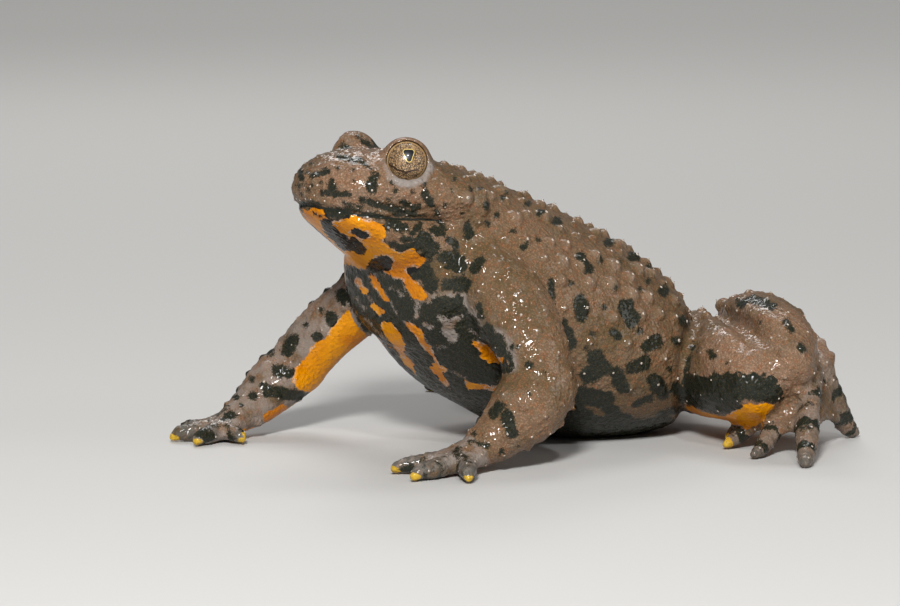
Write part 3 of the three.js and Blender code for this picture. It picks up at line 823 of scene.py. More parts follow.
def line_distance(first, second, line):
    """How far points are from a line through corners, in the plane of the two given coordinates."""
    spots = np.stack([first, second], axis=1)
    line = np.array(line, float)
    best = np.full(len(spots), np.inf)
    for start, end in list(zip(line[:-1], line[1:])) or [(line[0], line[0])]:
        run = end - start
        share = np.clip(((spots - start) @ run) / max(run @ run, 1e-9), 0, 1)
        best = np.minimum(best, np.linalg.norm(spots - start - share[:, None] * run, axis=1))
    return best


def stroke_field(across, down, strokes):
    """How far inside the nearest stroke each seen point lies, in mm."""
    inside = [radius - line_distance(across, down, line) for radius, line in strokes]
    return np.max(inside, axis=0) / PIXELS_PER_MM


def area_field(first, second, corners):
    """How far inside a closed outline each point lies, in the outline's own units."""
    within = np.zeros(len(first), bool)
    for (x1, y1), (x2, y2) in zip(corners, corners[1:] + corners[:1]):
        if y1 != y2:
            crosses = (y1 > second) != (y2 > second)
            within ^= crosses & (first < x1 + (second - y1) / (y2 - y1) * (x2 - x1))
    away = line_distance(first, second, corners + corners[:1])
    return np.where(within, away, -away)


# %% The belly's colour and the dark field
BELLY_LINE_X = [-6, 5.0, 6.2, 8.0, 9.5, 12.0, 15.0, 32.0, 36.0]
BELLY_LINE_Z = [21.1, 19.6, 18.0, 15.6, 14.2, 8.6, 5.0, 4.6, 5.5]
RAGGED_WIDE = 2.4  # how far the patches' edges wander, in pixels
RAGGED_FINE = 1.3


def noise_field(points, scale, seed):
    """A smooth random field from about -1 to 1 whose blotches are about scale millimetres wide."""
    shift = Vector((seed * 17.3, seed * 7.7, seed * 3.1))
    return np.array([noise_vector(Vector(p) / scale + shift)[0] for p in points])


def part_is(*prefixes):
    wanted = [index for index, name in enumerate(part_names) if name.startswith(prefixes)]
    return np.isin(part, wanted)


def digit_share(points, stops):
    """Where points lie along a digit, from 0 at its root to 1 at its tip, and how far off its line."""
    at = np.linspace(0, 1, 41)
    centres = smooth_points(np.array(stops)[:, :3], at)
    away = np.linalg.norm(points[:, None, :] - centres[None], axis=2)
    nearest = away.argmin(axis=1)
    return at[nearest], away[np.arange(len(points)), nearest]


TOE_BANDS = [[0.5], [0.3, 0.62], [0.24, 0.52, 0.78], [0.2, 0.45, 0.7], [0.25, 0.5, 0.74]]  # shares of a toe
BAND_HALF = 0.42
YELLOW_TIP = 0.88  # the share of a finger where its yellow tip starts
TOE_TIP = 0.84
COLOURED_TOES = "01"


def digit_fields(points, normals, fine):
    """The dark bands of the toes, the yellow tips, and how slate grey each point of a digit is."""
    bands = np.full(len(points), -2.0)
    yellow = np.full(len(points), -2.0)
    slate = np.zeros(len(points))
    nearest = np.full(len(points), np.inf)
    for name, stops in digit_lines.items():
        kind, _, index = name.split("_")
        share, away = digit_share(points, stops)
        closer = (away < nearest) & (away < 2.0) & part_is("hand", "foot", "palm")
        nearest[closer] = away[closer]
        length = np.linalg.norm(np.array(stops[-1][:3]) - np.array(stops[0][:3]))
        if kind == "toe":
            inside = [BAND_HALF - np.abs(share - spot) * length for spot in TOE_BANDS[int(index)]]
            band = np.max(inside, axis=0)
            bands[closer] = (band + fine)[closer]
            slate[closer] = (0.25 + 0.75 * smooth_step(share, 0.7, 0.95))[closer]
            is_coloured = index in COLOURED_TOES
            tip = (share - TOE_TIP) * length if is_coloured else np.full(len(points), -2.0)
        else:
            bands[closer] = (fine * 1.6 - 0.2)[closer]
            slate[closer] = smooth_step(share, 0.1, 0.5)[closer]
            tip = (share - YELLOW_TIP) * length - np.maximum(0, normals[:, 2]) * 0.7
        yellow[closer] = tip[closer]
    return bands, yellow, slate


INNER_ARM = (0.586, 0.506, -0.635)  # the way the orange inner side of the left arm faces


def unseen_fields(points, normals):
    """The two fields where the photo shows nothing, from noise with the seen side's proportions."""
    x, y, z = points.T
    blotch = noise_field(points, 2.6, 1) * 1.6
    spots = noise_field(points, 1.7, 5) * 1.5
    fine = noise_field(points, 1.1, 2) * 0.5
    belly = (np.interp(x, BELLY_LINE_X, BELLY_LINE_Z) - z) * 0.75 + fine * 0.8
    dark = np.where(belly > 0, blotch * 0.9 + 0.1, spots - 0.62)
    inner = np.tile(INNER_ARM, (len(x), 1))
    inner[:, 1] *= np.where(y < 0, 1, -1)
    arm = part_is("upper_arm", "forearm")
    belly = np.where(arm, (normals * inner).sum(axis=1) * 2.4 - 0.4 + fine * 0.6, belly)
    sole = part_is("hand", "palm", "foot", "tarsus")
    belly = np.where(sole, -normals[:, 2] * 2.0 - 1.4 + fine * 0.5, belly)
    thigh = part_is("thigh")
    belly = np.where(thigh, 3.5 - z + fine, belly)
    dark = np.where(thigh & (z < 8), 0.9 - np.abs(z - 5.2) + fine * 0.6, dark)
    belly = np.where(part_is("shank"), -normals[:, 2] * 3 - 1.8 + fine, belly)
    throat = part_is("trunk") & (x < 8) & (belly > 0) & (z > 13)
    dark = np.where(throat, blotch * 0.9 - 0.35, dark)
    dark = np.where(part_is("hand", "foot") & (belly < 0), spots * 0.9 - 0.2, dark)
    return dark, belly, fine


def paint(points, normals):
    """The dark and the belly's field in mm, what the camera sees, and the digits' slate grey."""
    across, down, _ = pixels_of(points)
    across += noise_field(points, 0.9, 6) * RAGGED_WIDE + noise_field(points, 0.35, 7) * RAGGED_FINE
    down += noise_field(points, 0.9, 8) * RAGGED_WIDE + noise_field(points, 0.35, 9) * RAGGED_FINE
    seen = smooth_step(normals @ BACK, -0.05, 0.2)
    dark, belly, fine = unseen_fields(points, normals)
    nothing = np.full(len(points), -2.0)

    def areas(*outlines):
        return np.max([area_field(across, down, outline) for outline in outlines], axis=0) / PIXELS_PER_MM

    def strokes(rows):
        return stroke_field(across, down, rows)

    chest_orange = np.maximum(areas(THROAT_ORANGE, *CHEST_ORANGE), strokes(NECK_ORANGE))
    chest_dark = np.maximum(strokes(DARK_CHEEK), areas(DARK_CHEST))
    chest_dark = np.minimum(chest_dark, -strokes(PALE_ON_CHEST)) + noise_field(points, 0.3, 14) * 0.12
    chest_dark = np.where(chest_orange > -0.1, np.maximum(-chest_orange, strokes(THROAT_DARK)), chest_dark)
    chest_dark = np.maximum(chest_dark, strokes(THROAT_DARK))
    back = (points[:, 0] > 5) & (across > 455)
    trunk_dark = np.maximum(chest_dark, np.where(back, strokes(DARK_ON_FLANK), nothing))
    trunk_dark = np.maximum(trunk_dark, np.where(down < 300, strokes(DARK_ON_HEAD), nothing))
    near_arm = part_is("upper_arm_left", "forearm_left", "palm_left", "hand_left")
    far_arm = part_is("upper_arm_right", "forearm_right", "palm_right", "hand_right")
    shoulder = part_is("upper_arm_left")
    arm_dark = np.maximum(strokes(DARK_ON_ARM), np.where(shoulder, np.minimum(chest_dark, 0.5), nothing))
    far_orange = np.maximum(areas(FAR_ARM_ORANGE), strokes(FAR_HAND_ORANGE))
    far_dark = np.where(far_orange > 0, -far_orange, strokes(DARK_ON_FAR_ARM))
    stipple = noise_field(points, 0.36, 12)
    soft_edge = smooth_step(down, 396, 380)
    thigh_dark = np.maximum(areas(THIGH_BAND) + stipple * soft_edge * 0.55, strokes(DARK_ON_THIGH))
    groups = [
        (part_is("trunk"), trunk_dark, chest_orange),
        (near_arm, arm_dark, np.where(shoulder, chest_orange, nothing)),
        (far_arm, far_dark, far_orange),
        (part_is("thigh_left"), thigh_dark, areas(THIGH_ORANGE)),
        (part_is("shank_left"), strokes(DARK_ON_SHANK), nothing),
        (part_is("foot_left", "tarsus_left"), strokes(DARK_ON_FOOT), nothing),
    ]
    for where, seen_dark, seen_belly in groups:
        share = np.where(where, seen, 0)
        dark = dark + (seen_dark - dark) * share
        belly = belly + (seen_belly - belly) * share
    bands, yellow, slate = digit_fields(points, normals, fine)
    dark = np.where(bands > -2, np.maximum(dark * 0.5 - 0.1, bands), dark)
    belly = np.maximum(belly, yellow)
    dark = np.where(yellow > 0, -0.5, dark)
    return dark + fine * 0.1, belly, seen, slate


def scatter(points, spacing, allowed, seed):
    """Indices of points no nearer to each other than their own spacing, in a seeded random order.

    The order is drawn for all points, so that one point more or less in a last digit's rounding changes
    only its neighbours.
    """
    tree = kdtree.KDTree(len(points))
    for index, place in enumerate(points):
        tree.insert(place, index)
    tree.balance()
    free = allowed.copy()
    chosen = []
    for index in np.random.default_rng(seed).permutation(len(points)):
        if free[index]:
            chosen.append(index)
            for _, other, _ in tree.find_range(points[index], spacing[index]):
                free[other] = False
    return np.array(chosen), tree


part_names, part = nearest_part(pose_places(skin))
points, normals = pose_places(skin), normals_of(skin.data)
dark, belly, seen, slate = paint(points, normals)
print("fields painted on", len(points), "points")

# %% [markdown]
# ## Warts
#
# The back is covered with round warts, each with one or a few tiny black spines at its tip. The
# limbs and the head have smaller ones, and fine grains lie between them. They are real shape, so
# points are raised in low domes, at places that keep a set distance from each other.


# %% Scatter and raise the warts
FLANK_WARTS = (2.3, 0.5, 0.18)  # spacing, radius and height in mm, as in the next four
MORE_ON_TOP = (-0.6, 0.24, 0.22)
HEAD_WARTS = (1.25, 0.32, 0.11)
LIMB_WARTS = (1.7, 0.5, 0.2)
DIGIT_WARTS = (1.3, 0.3, 0.07)
WART_SPREAD = (0.6, 1.35)
HEAD_END_X = 6.5
GRAIN_SPACING = 0.62
GRAIN_RADIUS = 0.42
GRAIN_HEIGHT = 0.075
BELLY_GRAIN_HEIGHT = 0.025
# the pale dots on the upper lip are painted highlights: glints of its wet grains
LIP_GLINT_SPACING = 0.75
EYE_CLEARANCE = 2.6


def wart_sizes(points, normals):
    """Each point's spacing, radius and height for warts, in mm."""
    top = smooth_step(normals[:, 2], -0.3, 0.6)
    sizes = [low + more * top for low, more in zip(FLANK_WARTS, MORE_ON_TOP)]
    head = part_is("trunk") & (points[:, 0] < HEAD_END_X)
    limb = ~part_is("trunk")
    digit = part_is("hand", "foot", "palm")
    for where, values in ((head, HEAD_WARTS), (limb, LIMB_WARTS), (digit, DIGIT_WARTS)):
        for size, value in zip(sizes, values):
            size[where] = value
    return sizes


def raise_domes(points, tree, chosen, radius, height, rng):
    """How far each point is raised by low domes round the chosen points."""
    raised = np.zeros(len(points))
    grow = rng.uniform(*WART_SPREAD, len(points))
    for index in chosen:
        reach, lift = radius[index] * grow[index], height[index] * grow[index]
        for _, other, away in tree.find_range(points[index], reach):
            value = lift * (1 - (away / reach) ** 2) ** 1.5
            raised[other] = max(raised[other], value)
    return raised


rng = np.random.default_rng(11)
spacing, radius, height = wart_sizes(points, normals)
eye_gap = np.minimum(*[np.linalg.norm(points - eye_centre(side), axis=1) for side in SIDES.values()])
underside = part_is("trunk") & (points[:, 2] < np.interp(points[:, 0], BELLY_LINE_X, BELLY_LINE_Z) + 0.4)
throat_side = part_is("trunk") & (points[:, 0] < 11) & (mouth_height(points) < 0) & (points[:, 2] < 19)
clear = (eye_gap > EYE_CLEARANCE) & (np.abs(mouth_height(points)) > 0.35) & (points[:, 2] > 0.6)
on_back = (belly < -0.2) & ~underside & ~throat_side & clear
wart_spots, tree = scatter(points, spacing, on_back, 3)
warts = raise_domes(points, tree, wart_spots, radius, height, rng)
everywhere = np.ones(len(points))
off_the_floor = (points[:, 2] > 0.4) & (eye_gap > EYE_CLEARANCE)
grain_spots, _ = scatter(points, everywhere * GRAIN_SPACING, off_the_floor, 4)
grain_height = np.where(belly > 0, BELLY_GRAIN_HEIGHT, GRAIN_HEIGHT)
grains = raise_domes(points, tree, grain_spots, everywhere * GRAIN_RADIUS, grain_height, rng)
# painted highlights: pale dots along the upper lip, for the glints of its wet grains
near_lip = on_back & (np.abs(mouth_height(points) - 1.2) < 1.0) & (points[:, 0] < 5) & part_is("trunk")
lip_glint_spots, _ = scatter(points, everywhere * LIP_GLINT_SPACING, near_lip, 5)
tips = points[wart_spots] + normals[wart_spots] * warts[wart_spots][:, None]
tip_normals = normals[wart_spots]
lip_glints, lip_glint_normals = points[lip_glint_spots], normals[lip_glint_spots]
points = points + normals * (warts + grains)[:, None]
points[:, 2] = np.maximum(points[:, 2], 0)
put_places(skin.data, (points + FRAME_SHIFT) * MM)
print(len(wart_spots), "warts,", len(grain_spots), "grains")


# %% Keep the fields on the skin and thin its faces
def keep_field(mesh, name, values):
    field = mesh.attributes.new(name, "FLOAT", "POINT")
    field.data.foreach_set("value", values.astype(np.float32))


SKIN_TRIANGLES = 192000
# painted reflection: the shares of lilac grey that stand in for the wet sheen on hands, feet and far arm
HAND_SHEEN = 0.7
FOOT_SHEEN = 0.3
FAR_ARM_SHEEN = 0.6
LID_PALENESS = 1.12
LID_EDGE = (2.5, 2.15)  # where the lower lid's paleness starts and is full, in mm from the gaze
BACK_OLIVE = 0.42
NEAR_ARM_OLIVE = 0.25
# painted shade: how wide the dark line painted along the mouth's groove is, in mm
MOUTH_SHADE_WIDTH = 0.13


def lilac_and_sheen_field(pose):
    """How far the brown turns to lilac grey: painted reflection of the wet skin on hands, feet, far arm and
    chest, and the lower lids' own pale colour.
    """
    across, down, _ = pixels_of(pose)
    # painted reflection on the chest beside its dark patch
    chest = smooth_step(area_field(across, down, DARK_CHEST), -9, 0) * smooth_step(across, 530, 510)
    chest *= seen * part_is("trunk", "upper_arm_left")
    cool = np.where(part_is("hand", "palm"), HAND_SHEEN, 0.0)
    cool = np.where(part_is("foot", "tarsus"), FOOT_SHEEN, cool)
    cool = np.where(part_is("forearm_right", "upper_arm_right"), FAR_ARM_SHEEN, cool)
    cool = np.maximum(cool, chest)
    for side in SIDES.values():
        beside, above, before = from_eye(pose, side)
        below = smooth_step(above, 0.5, -0.5) * (before > -0.6)
        cool = np.maximum(cool, smooth_step(np.hypot(beside, above), *LID_EDGE) * below * LID_PALENESS)
    return cool


pose = pose_places(skin)
olive = np.where(part_is("trunk"), smooth_step(pose[:, 0], 4.5, 9.0) * BACK_OLIVE, 0.0)
olive = np.where(part_is("forearm_left", "upper_arm_left"), NEAR_ARM_OLIVE, olive)
# painted shade along the mouth's groove, where the overhanging lip shades it
groove = bell(mouth_height(pose), 0, MOUTH_SHADE_WIDTH) * mouth_share(pose) * part_is("trunk")
fields = {
    "dark": dark, "belly": belly, "wart": warts, "cool": lilac_and_sheen_field(pose), "groove": groove,
    "slate": slate, "olive": olive,
}
for name, values in fields.items():
    keep_field(skin.data, name, values)
skin.data.calc_loop_triangles()
triangles = len(skin.data.loop_triangles)
apply_modifier(skin, "DECIMATE", ratio=min(1, SKIN_TRIANGLES / triangles))
skin.data.calc_loop_triangles()
select_only(skin)
bpy.ops.object.shade_smooth()
print("skin triangles:", triangles, "thinned to", len(skin.data.loop_triangles))

# %% [markdown]
# ## Materials
#
# Wet skin is coloured below and glossy above: a fairly rough base with a thin clear coat. The water
# fills the finest pits, so the coat has a smoother bump than the base. The fields become sharp edges
# with a little noise, pale lines run along the black patches of the belly, and the brown shifts
# between pinkish grey, olive and rust, as in life.


# %% Helpers for materials
class Nodes:
    """The nodes of one new material, with short forms of the few kinds that are used here."""

    def __init__(self, name):
        self.material = bpy.data.materials.new(name)
        self.material.use_nodes = True
        self.add = self.material.node_tree.nodes.new
        self.link = self.material.node_tree.links.new
        self.shader = self.material.node_tree.nodes["Principled BSDF"]

    def feed(self, socket, value):
        """Gives a socket a number, a colour or another node's output."""
        if isinstance(value, (int, float)):
            socket.default_value = value
        elif isinstance(value, tuple):
            socket.default_value = (*value, 1)
        else:
            self.link(value, socket)

    def math(self, operation, first, second=None, third=None, clamp=False):
        node = self.add("ShaderNodeMath")
        node.operation = operation
        node.use_clamp = clamp
        for socket, value in zip(node.inputs, (first, second, third)):
            if value is not None:
                self.feed(socket, value)
        return node.outputs[0]

    def times(self, first, second):
        return self.math("MULTIPLY", first, second)

    def edge(self, value, low, high):
        """0 up to low and 1 from high, with a soft step between."""
        node = self.add("ShaderNodeMapRange")
        node.interpolation_type = "SMOOTHSTEP"
        self.link(value, node.inputs["Value"])
        node.inputs["From Min"].default_value = low
        node.inputs["From Max"].default_value = high
        return node.outputs["Result"]

    def mix(self, share, first, second):
        node = self.add("ShaderNodeMix")
        node.data_type = "RGBA"
        self.feed(node.inputs["Factor"], share)
        sockets = [socket for socket in node.inputs if socket.type == "RGBA"]
        for socket, value in zip(sockets, (first, second)):
            self.feed(socket, value)
        return [socket for socket in node.outputs if socket.type == "RGBA"][0]

    def field(self, name):
        node = self.add("ShaderNodeAttribute")
        node.attribute_name = name
        return node.outputs["Fac"]

    def place(self):
        return self.add("ShaderNodeTexCoord").outputs["Object"]

    def noise(self, coordinates, per_mm, detail=3.0, roughness=0.55):
        node = self.add("ShaderNodeTexNoise")
        self.link(coordinates, node.inputs["Vector"])
        node.inputs["Scale"].default_value = per_mm / MM
        node.inputs["Detail"].default_value = detail
        node.inputs["Roughness"].default_value = roughness
        return node.outputs["Fac"]

    def grains(self, coordinates, per_mm):
        """Round grains: 1 in the middle of each grain and 0 between them."""
        node = self.add("ShaderNodeTexVoronoi")
        node.feature = "SMOOTH_F1"
        node.inputs["Scale"].default_value = per_mm / MM
        node.inputs["Smoothness"].default_value = 0.25
        self.link(coordinates, node.inputs["Vector"])
        return self.edge(node.outputs["Distance"], 0.62, 0.05)

    def bump(self, height, strength, depth_mm, target):
        node = self.add("ShaderNodeBump")
        node.inputs["Strength"].default_value = strength
        node.inputs["Distance"].default_value = depth_mm * MM
        self.link(height, node.inputs["Height"])
        self.link(node.outputs["Normal"], self.shader.inputs[target])

    def finish(self, **values):
        """Sets the shader's plain values, whose names are given with underscores for spaces."""
        for name, value in values.items():
            self.feed(self.shader.inputs[name.replace("_", " ")], value)
        return self.material


# %% The skin's material
PINK_BROWN = (0.285, 0.170, 0.105)
OLIVE_BROWN = (0.125, 0.080, 0.036)
RUST = (0.27, 0.105, 0.045)
GREY = (0.27, 0.205, 0.155)
DARK_GREEN = (0.013, 0.016, 0.011)
# dark specks of the skin, and the painted shade between the finest grains
DARK_SPECK_AND_SHADE = (0.045, 0.032, 0.018)
BELLY_BLACK = (0.004, 0.005, 0.005)
ORANGE = (0.68, 0.26, 0.0)
DEEP_ORANGE = (0.50, 0.155, 0.0)
DULL_YELLOW = (0.50, 0.31, 0.03)
PALE_LINE = (0.47, 0.40, 0.34)
# the lower lids' own pale colour, and the colour of the wet skin's painted reflection
LILAC = (0.25, 0.215, 0.19)
SLATE = (0.075, 0.078, 0.070)
SKIN_NOISE = (0.16, 0.7, 2.6, 9.0)  # blotches to a millimetre: wide, medium, small and tiny
GRAINS = 2.3
FINE_GRAINS = 5.5


SKIN_BUMP = (0.7, 0.1)  # strength, and depth in mm
FILM_BUMP = (0.55, 0.07)


def brown_above(net, noises, fine_grains, dark):
    """The back's brown, from wide shifts of tone down to fine dark specks, with painted shade in the hollows
    between its finest grains.
    """
    wide, medium, small, tiny = noises
    brown = net.mix(net.edge(wide, 0.35, 0.65), PINK_BROWN, OLIVE_BROWN)
    brown = net.mix(net.times(net.edge(medium, 0.45, 0.75), 0.6), brown, GREY)
    brown = net.mix(net.field("olive"), brown, OLIVE_BROWN)
    brown = net.mix(net.times(net.edge(small, 0.46, 0.7), 0.65), brown, RUST)
    # painted shade: darker in the hollows between the finest grains, where the bump is lowest
    brown = net.mix(net.times(net.edge(fine_grains, 0.55, 0.1), 0.42), brown, DARK_SPECK_AND_SHADE)
    brown = net.mix(net.times(net.edge(tiny, 0.56, 0.68), 0.45), brown, DARK_SPECK_AND_SHADE)
    # lilac grey: painted reflection of the wet skin, and on the lower lids their own pale colour
    cool = net.times(net.field("cool"), net.edge(medium, 0.3, 0.6))
    on_lid = net.times(net.edge(net.field("cool"), 0.95, 1.25), 0.85)
    brown = net.mix(net.math("MAXIMUM", cool, on_lid, clamp=True), brown, LILAC)
    slate = net.times(net.field("slate"), net.edge(small, 0.3, 0.6))
    brown = net.mix(net.times(slate, 0.8), brown, SLATE)
    brown = net.mix(net.times(net.edge(net.field("wart"), 0.12, 0.34), 0.25), brown, GREY)
    green = net.mix(net.times(net.edge(tiny, 0.5, 0.68), 0.35), DARK_GREEN, OLIVE_BROWN)
    return net.mix(net.edge(dark, -0.10, 0.06), brown, green)


def orange_below(net, noises, dark, smooth_dark):
    """The belly's orange, with pale lines along its black patches and fine dark dots."""
    wide, medium, _, tiny = noises
    orange = net.mix(net.edge(wide, 0.4, 0.6), ORANGE, DEEP_ORANGE)
    orange = net.mix(net.field("slate"), orange, DULL_YELLOW)
    line = net.times(net.edge(dark, -0.18, -0.06), net.edge(dark, 0.03, -0.03))
    orange = net.mix(net.times(line, net.edge(medium, 0.5, 0.62)), orange, PALE_LINE)
    dots = net.times(net.edge(tiny, 0.6, 0.66), net.edge(medium, 0.52, 0.6))
    orange = net.mix(net.times(dots, 0.7), orange, DARK_SPECK_AND_SHADE)
    black = net.mix(net.edge(tiny, 0.6, 0.8), BELLY_BLACK, DARK_GREEN)
    return net.mix(net.edge(smooth_dark, -0.04, 0.04), orange, black)


def skin_material():
    net = Nodes("toad_skin")
    place = net.place()
    noises = [net.noise(place, per_mm) for per_mm in SKIN_NOISE]
    small, tiny = noises[2:]
    grains = net.grains(place, GRAINS)
    fine_grains = net.grains(place, FINE_GRAINS)
    ragged = net.times(net.math("SUBTRACT", small, 0.5), 0.5)
    frayed = net.math("MULTIPLY_ADD", net.math("SUBTRACT", tiny, 0.5), 0.7, ragged)
    dark = net.math("ADD", net.field("dark"), frayed)
    smooth_dark = net.math("ADD", net.field("dark"), ragged)
    belly = net.math("ADD", net.field("belly"), ragged)
    above = brown_above(net, noises, fine_grains, dark)
    below = orange_below(net, noises, dark, smooth_dark)
    colour = net.mix(net.edge(belly, -0.04, 0.04), above, below)
    # painted shade along the mouth's groove
    colour = net.mix(net.edge(net.field("groove"), 0.35, 0.75), colour, DARK_GREEN)
    height = net.math("MULTIPLY_ADD", fine_grains, 0.45, grains)
    net.bump(net.math("MULTIPLY_ADD", tiny, 0.3, height), *SKIN_BUMP, "Normal")
    net.bump(grains, *FILM_BUMP, "Coat Normal")
    return net.finish(
        Base_Color=colour, Roughness=net.math("MULTIPLY_ADD", small, 0.25, 0.4), Coat_Weight=0.42,
        Coat_Roughness=0.07, Specular_IOR_Level=0.03,
    )


skin.data.materials.clear()
skin.data.materials.append(skin_material())
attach(skin, "root")
flesh_nodes = [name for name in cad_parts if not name.startswith("eye")]
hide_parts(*flesh_nodes)
print("skin replaces", len(flesh_nodes), "solids")

# %% [markdown]
# ## Wart tips
#
# Under a lens each wart ends in a pale glassy tip with a black spine. The pale tips are partly the
# warts' own pale halos and partly painted highlights for their wet glints, and the pale dots along the
# upper lip are painted glints of its wet grains. They are far too small for the skin's own faces, so
# one tip and one spine are modelled, and each wart gets its own copy of both.


# %% Copies of one small shape
def copies_of(name, template, spots, directions, sizes):
    """One mesh of many copies of a template, which is removed. Its +Z turns to each direction."""
    base = places_of(template.data)
    faces = [list(face.vertices) for face in template.data.polygons]
    all_places, all_faces = [], []
    for spot, direction, size in zip(spots, directions, sizes):
        turn = np.array(Vector(direction).to_track_quat("Z", "Y").to_matrix())
        start = len(all_places) * len(base)
        all_places.append((base * size) @ turn.T + (spot + FRAME_SHIFT) * MM)
        all_faces.extend([[start + index for index in face] for face in faces])
    mesh = bpy.data.meshes.new(name)
    mesh.from_pydata(np.concatenate(all_places).tolist(), [], all_faces)
    item = bpy.data.objects.new(name, mesh)
    bpy.context.scene.collection.objects.link(item)
    bpy.data.objects.remove(template)
    select_only(item)
    bpy.ops.object.shade_smooth()
    return item


def glossy_material(name, colour, roughness):
    net = Nodes(name)
    speck = net.edge(net.noise(net.place(), 4.0), 0.3, 0.7)
    deeper = tuple(0.6 * value for value in colour)
    return net.finish(
        Base_Color=net.mix(speck, colour, deeper), Roughness=roughness, Coat_Weight=0.5, Coat_Roughness=0.05,
    )


TIP_RADIUS = 0.13
SPINE_RADIUS = 0.06
SPINE_HEIGHT = 0.2
SPINE_LIFT = 0.07
# pale tips: the warts' own pale halos, and painted highlights for their wet glints
TIP_AND_GLINT_COLOUR = (0.55, 0.46, 0.38)
SPINE_COLOUR = (0.01, 0.009, 0.008)
tip_sizes = rng.uniform(0.7, 1.25, len(points))[wart_spots]
on_head = (tips[:, 0] < HEAD_END_X) & part_is("trunk")[wart_spots]
on_limb = ~part_is("trunk")[wart_spots]
tip_sizes *= np.where(on_head, 0.6, np.where(on_limb, 0.75, 1.0))
spine_sizes = tip_sizes * np.where(on_head | on_limb, 0.5, 0.85)
bpy.ops.mesh.primitive_uv_sphere_add(segments=10, ring_count=6, radius=TIP_RADIUS * MM)
dome = bpy.context.object
bpy.ops.object.mode_set(mode="EDIT")
bpy.ops.transform.resize(value=(1, 1, 0.55))
bpy.ops.object.mode_set(mode="OBJECT")
dot_sizes = np.concatenate([tip_sizes, rng.uniform(0.45, 0.8, len(points))[lip_glint_spots]])
dots, dot_normals = np.concatenate([tips, lip_glints]), np.concatenate([tip_normals, lip_glint_normals])
wart_tips_and_glints = copies_of("wart_tips_and_glints", dome, dots, dot_normals, dot_sizes)
bpy.ops.mesh.primitive_cone_add(
    vertices=7, radius1=SPINE_RADIUS * MM, radius2=0.01 * MM, depth=SPINE_HEIGHT * MM,
)
spine_spots = tips + tip_normals * SPINE_LIFT
wart_spines = copies_of("wart_spines", bpy.context.object, spine_spots, tip_normals, spine_sizes)
wart_tips_and_glints.data.materials.append(glossy_material("wart_tip_and_glint", TIP_AND_GLINT_COLOUR, 0.25))
wart_spines.data.materials.append(glossy_material("wart_spine", SPINE_COLOUR, 0.3))
for piece in (wart_tips_and_glints, wart_spines):
    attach(piece, "root")
print(len(tips), "wart tips and spines")

# %% [markdown]
# ## Eyes
#
# The iris is golden bronze with a fine dark network, and the pupil is a drop that hangs point down.
# Both lie on a ball in this model, whose own map holds how far each point lies beside and above the
# gaze, so that the pattern follows the eye wherever it looks.

# %% The eyeballs
BRONZE = (0.50, 0.33, 0.165)
DEEP_BRONZE = (0.30, 0.18, 0.09)
THREAD = (0.03, 0.018, 0.012)
VEIN_COLOUR = (0.03, 0.015, 0.01)
RING = (0.55, 0.36, 0.16)
EYE_EDGE = (0.07, 0.055, 0.05)
PUPIL_RIM = (0.8, 0.58, 0.18)
PUPIL = (0.004, 0.004, 0.006)
IRIS_RADIUS = 1.7
PUPIL_CORNERS = [(-0.1, 0.68), (0.36, 0.68), (0.15, 0.06)]
PUPIL_ROUNDING = 0.19
VEIN = [
    (-1.5, -0.26), (-1.1, -0.52), (-0.83, -0.78), (-0.4, -0.86), (-0.08, -1.0), (0.4, -0.84), (0.9, -0.78),
]


def iris_network(net, place):
    """Fine dark threads that fade in and out, from the edges of cells bent by noise."""
    shift = net.add("ShaderNodeVectorMath")
    shift.operation = "MULTIPLY_ADD"
    net.link(net.noise(place, 3.0), shift.inputs[0])
    shift.inputs[1].default_value = (0.3 * MM,) * 3
    net.link(place, shift.inputs[2])
    cells = net.add("ShaderNodeTexVoronoi")
    cells.feature = "DISTANCE_TO_EDGE"
    cells.inputs["Scale"].default_value = 5.5 / MM
    net.link(shift.outputs["Vector"], cells.inputs["Vector"])
    patch = net.edge(net.noise(place, 1.8), 0.25, 0.5)
    return net.times(net.edge(cells.outputs["Distance"], 0.2, 0.05), patch)


def iris_material():
    net = Nodes("iris")
    place = net.place()
    gold = net.mix(net.edge(net.noise(place, 6.0), 0.35, 0.65), BRONZE, DEEP_BRONZE)
    gold = net.mix(iris_network(net, place), gold, THREAD)
    gold = net.mix(net.edge(net.field("vein"), 0.09, 0.03), gold, VEIN_COLOUR)
    radius = net.field("from_gaze")
    ring = net.times(net.edge(radius, 1.5, 1.56), net.edge(radius, 1.66, 1.6))
    gold = net.mix(ring, gold, RING)
    colour = net.mix(net.edge(radius, IRIS_RADIUS - 0.05, IRIS_RADIUS), gold, EYE_EDGE)
    pupil = net.field("pupil")
    colour = net.mix(net.edge(pupil, -0.08, -0.055), colour, PUPIL_RIM)
    colour = net.mix(net.edge(pupil, -0.03, 0.0), colour, PUPIL)
    return net.finish(
        Base_Color=colour, Roughness=0.35, Metallic=0.15, Coat_Weight=0.7, Coat_Roughness=0.02, Coat_IOR=1.4,
    )


iris = iris_material()
for side_name, side in SIDES.items():
    eye = ball_at(f"eyeball_{side_name}", eye_centre(side), EYE_RADIUS, sides=128, rings=96)
    across, above, before = from_eye(pose_places(eye), side)
    in_front = before > 0
    keep_field(eye.data, "from_gaze", np.where(in_front, np.hypot(across, above), 3.0))
    across *= -side
    pupil = area_field(across, above, PUPIL_CORNERS) + PUPIL_ROUNDING
    keep_field(eye.data, "pupil", np.where(in_front, pupil, -3.0))
    keep_field(eye.data, "vein", np.where(in_front, line_distance(across, above, VEIN), 3.0))
    select_only(eye)
    bpy.ops.object.shade_smooth()
    eye.data.materials.append(iris)
    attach(eye, "root")
    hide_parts(f"eye_{side_name}")
print("two eyes")

# %% [markdown]
# ## Floor and light
#
# The picture is a plain studio one. The pale floor bends up far behind the toad, so no edge shows. A
# soft key light stands above and in front, a small one makes the wet skin glint, a large weak one
# fills the shadows, one behind draws the back's edge, and the last lights the floor's far bend.

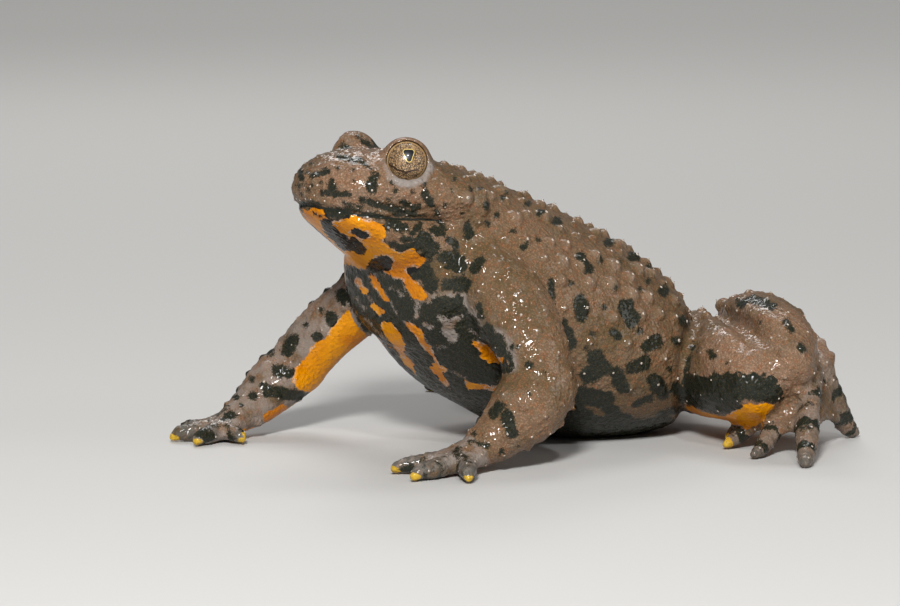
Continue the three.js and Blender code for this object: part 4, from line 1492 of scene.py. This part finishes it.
# %% Floor and light
SWEEP = 3.0
BEND_START = 0.95
BEND_RADIUS = 0.9
bpy.ops.mesh.primitive_grid_add(x_subdivisions=2, y_subdivisions=120, size=SWEEP)
floor = bpy.context.object
floor.name = "floor"
flat = places_of(floor.data)
beyond = np.maximum(0, flat[:, 1] - BEND_START)
turn = np.minimum(beyond / BEND_RADIUS, math.pi / 2)
rest = beyond - turn * BEND_RADIUS
flat[:, 2] = BEND_RADIUS * (1 - np.cos(turn)) + rest
flat[:, 1] = np.minimum(flat[:, 1], BEND_START) + BEND_RADIUS * np.sin(turn)
away = math.radians(AZIMUTH)
swing = np.array([[math.cos(away), -math.sin(away)], [math.sin(away), math.cos(away)]])
flat[:, :2] = flat[:, :2] * [2.0, 1.0] @ swing.T
put_places(floor.data, flat)
select_only(floor)
bpy.ops.object.shade_smooth()


def area_light(name, place, size, power, target):
    bpy.ops.object.light_add(type="AREA", location=place)
    lamp = bpy.context.object
    lamp.name = name
    lamp.data.size = size
    lamp.data.energy = power
    aim = Vector(target) - Vector(place)
    lamp.rotation_euler = aim.to_track_quat("-Z", "Y").to_euler()


FLOOR_COLOUR = (0.55, 0.54, 0.52)
SKY_COLOUR = (0.92, 0.94, 0.96, 1)
SKY_STRENGTH = 0.14
BODY_MIDDLE = (0, 0, 0.01)
LIGHTS = [  # name, place, size in metres, power in watts, and what it is aimed at
    ("key", (-0.26, -0.30, 0.26), 0.07, 2.4, BODY_MIDDLE),
    ("glint", (-0.14, -0.34, 0.36), 0.025, 0.45, BODY_MIDDLE),
    ("fill", (0.30, -0.40, 0.20), 0.2, 0.35, BODY_MIDDLE),
    ("back", (0.15, 0.35, 0.30), 0.12, 0.35, BODY_MIDDLE),
    ("backdrop", (0.34, 0.48, 0.9), 0.5, 5.0, (0.6, 0.86, 0.0)),
]
floor.data.materials.append(Nodes("pale_floor").finish(Base_Color=FLOOR_COLOUR, Roughness=0.7))
for light in LIGHTS:
    area_light(*light)
world = bpy.context.scene.world or bpy.data.worlds.new("world")
bpy.context.scene.world = world
world.use_nodes = True
background = world.node_tree.nodes["Background"]
background.inputs["Color"].default_value = SKY_COLOUR
background.inputs["Strength"].default_value = SKY_STRENGTH
bpy.context.scene.view_settings.view_transform = "Standard"
print("floor and", len(LIGHTS), "lights")
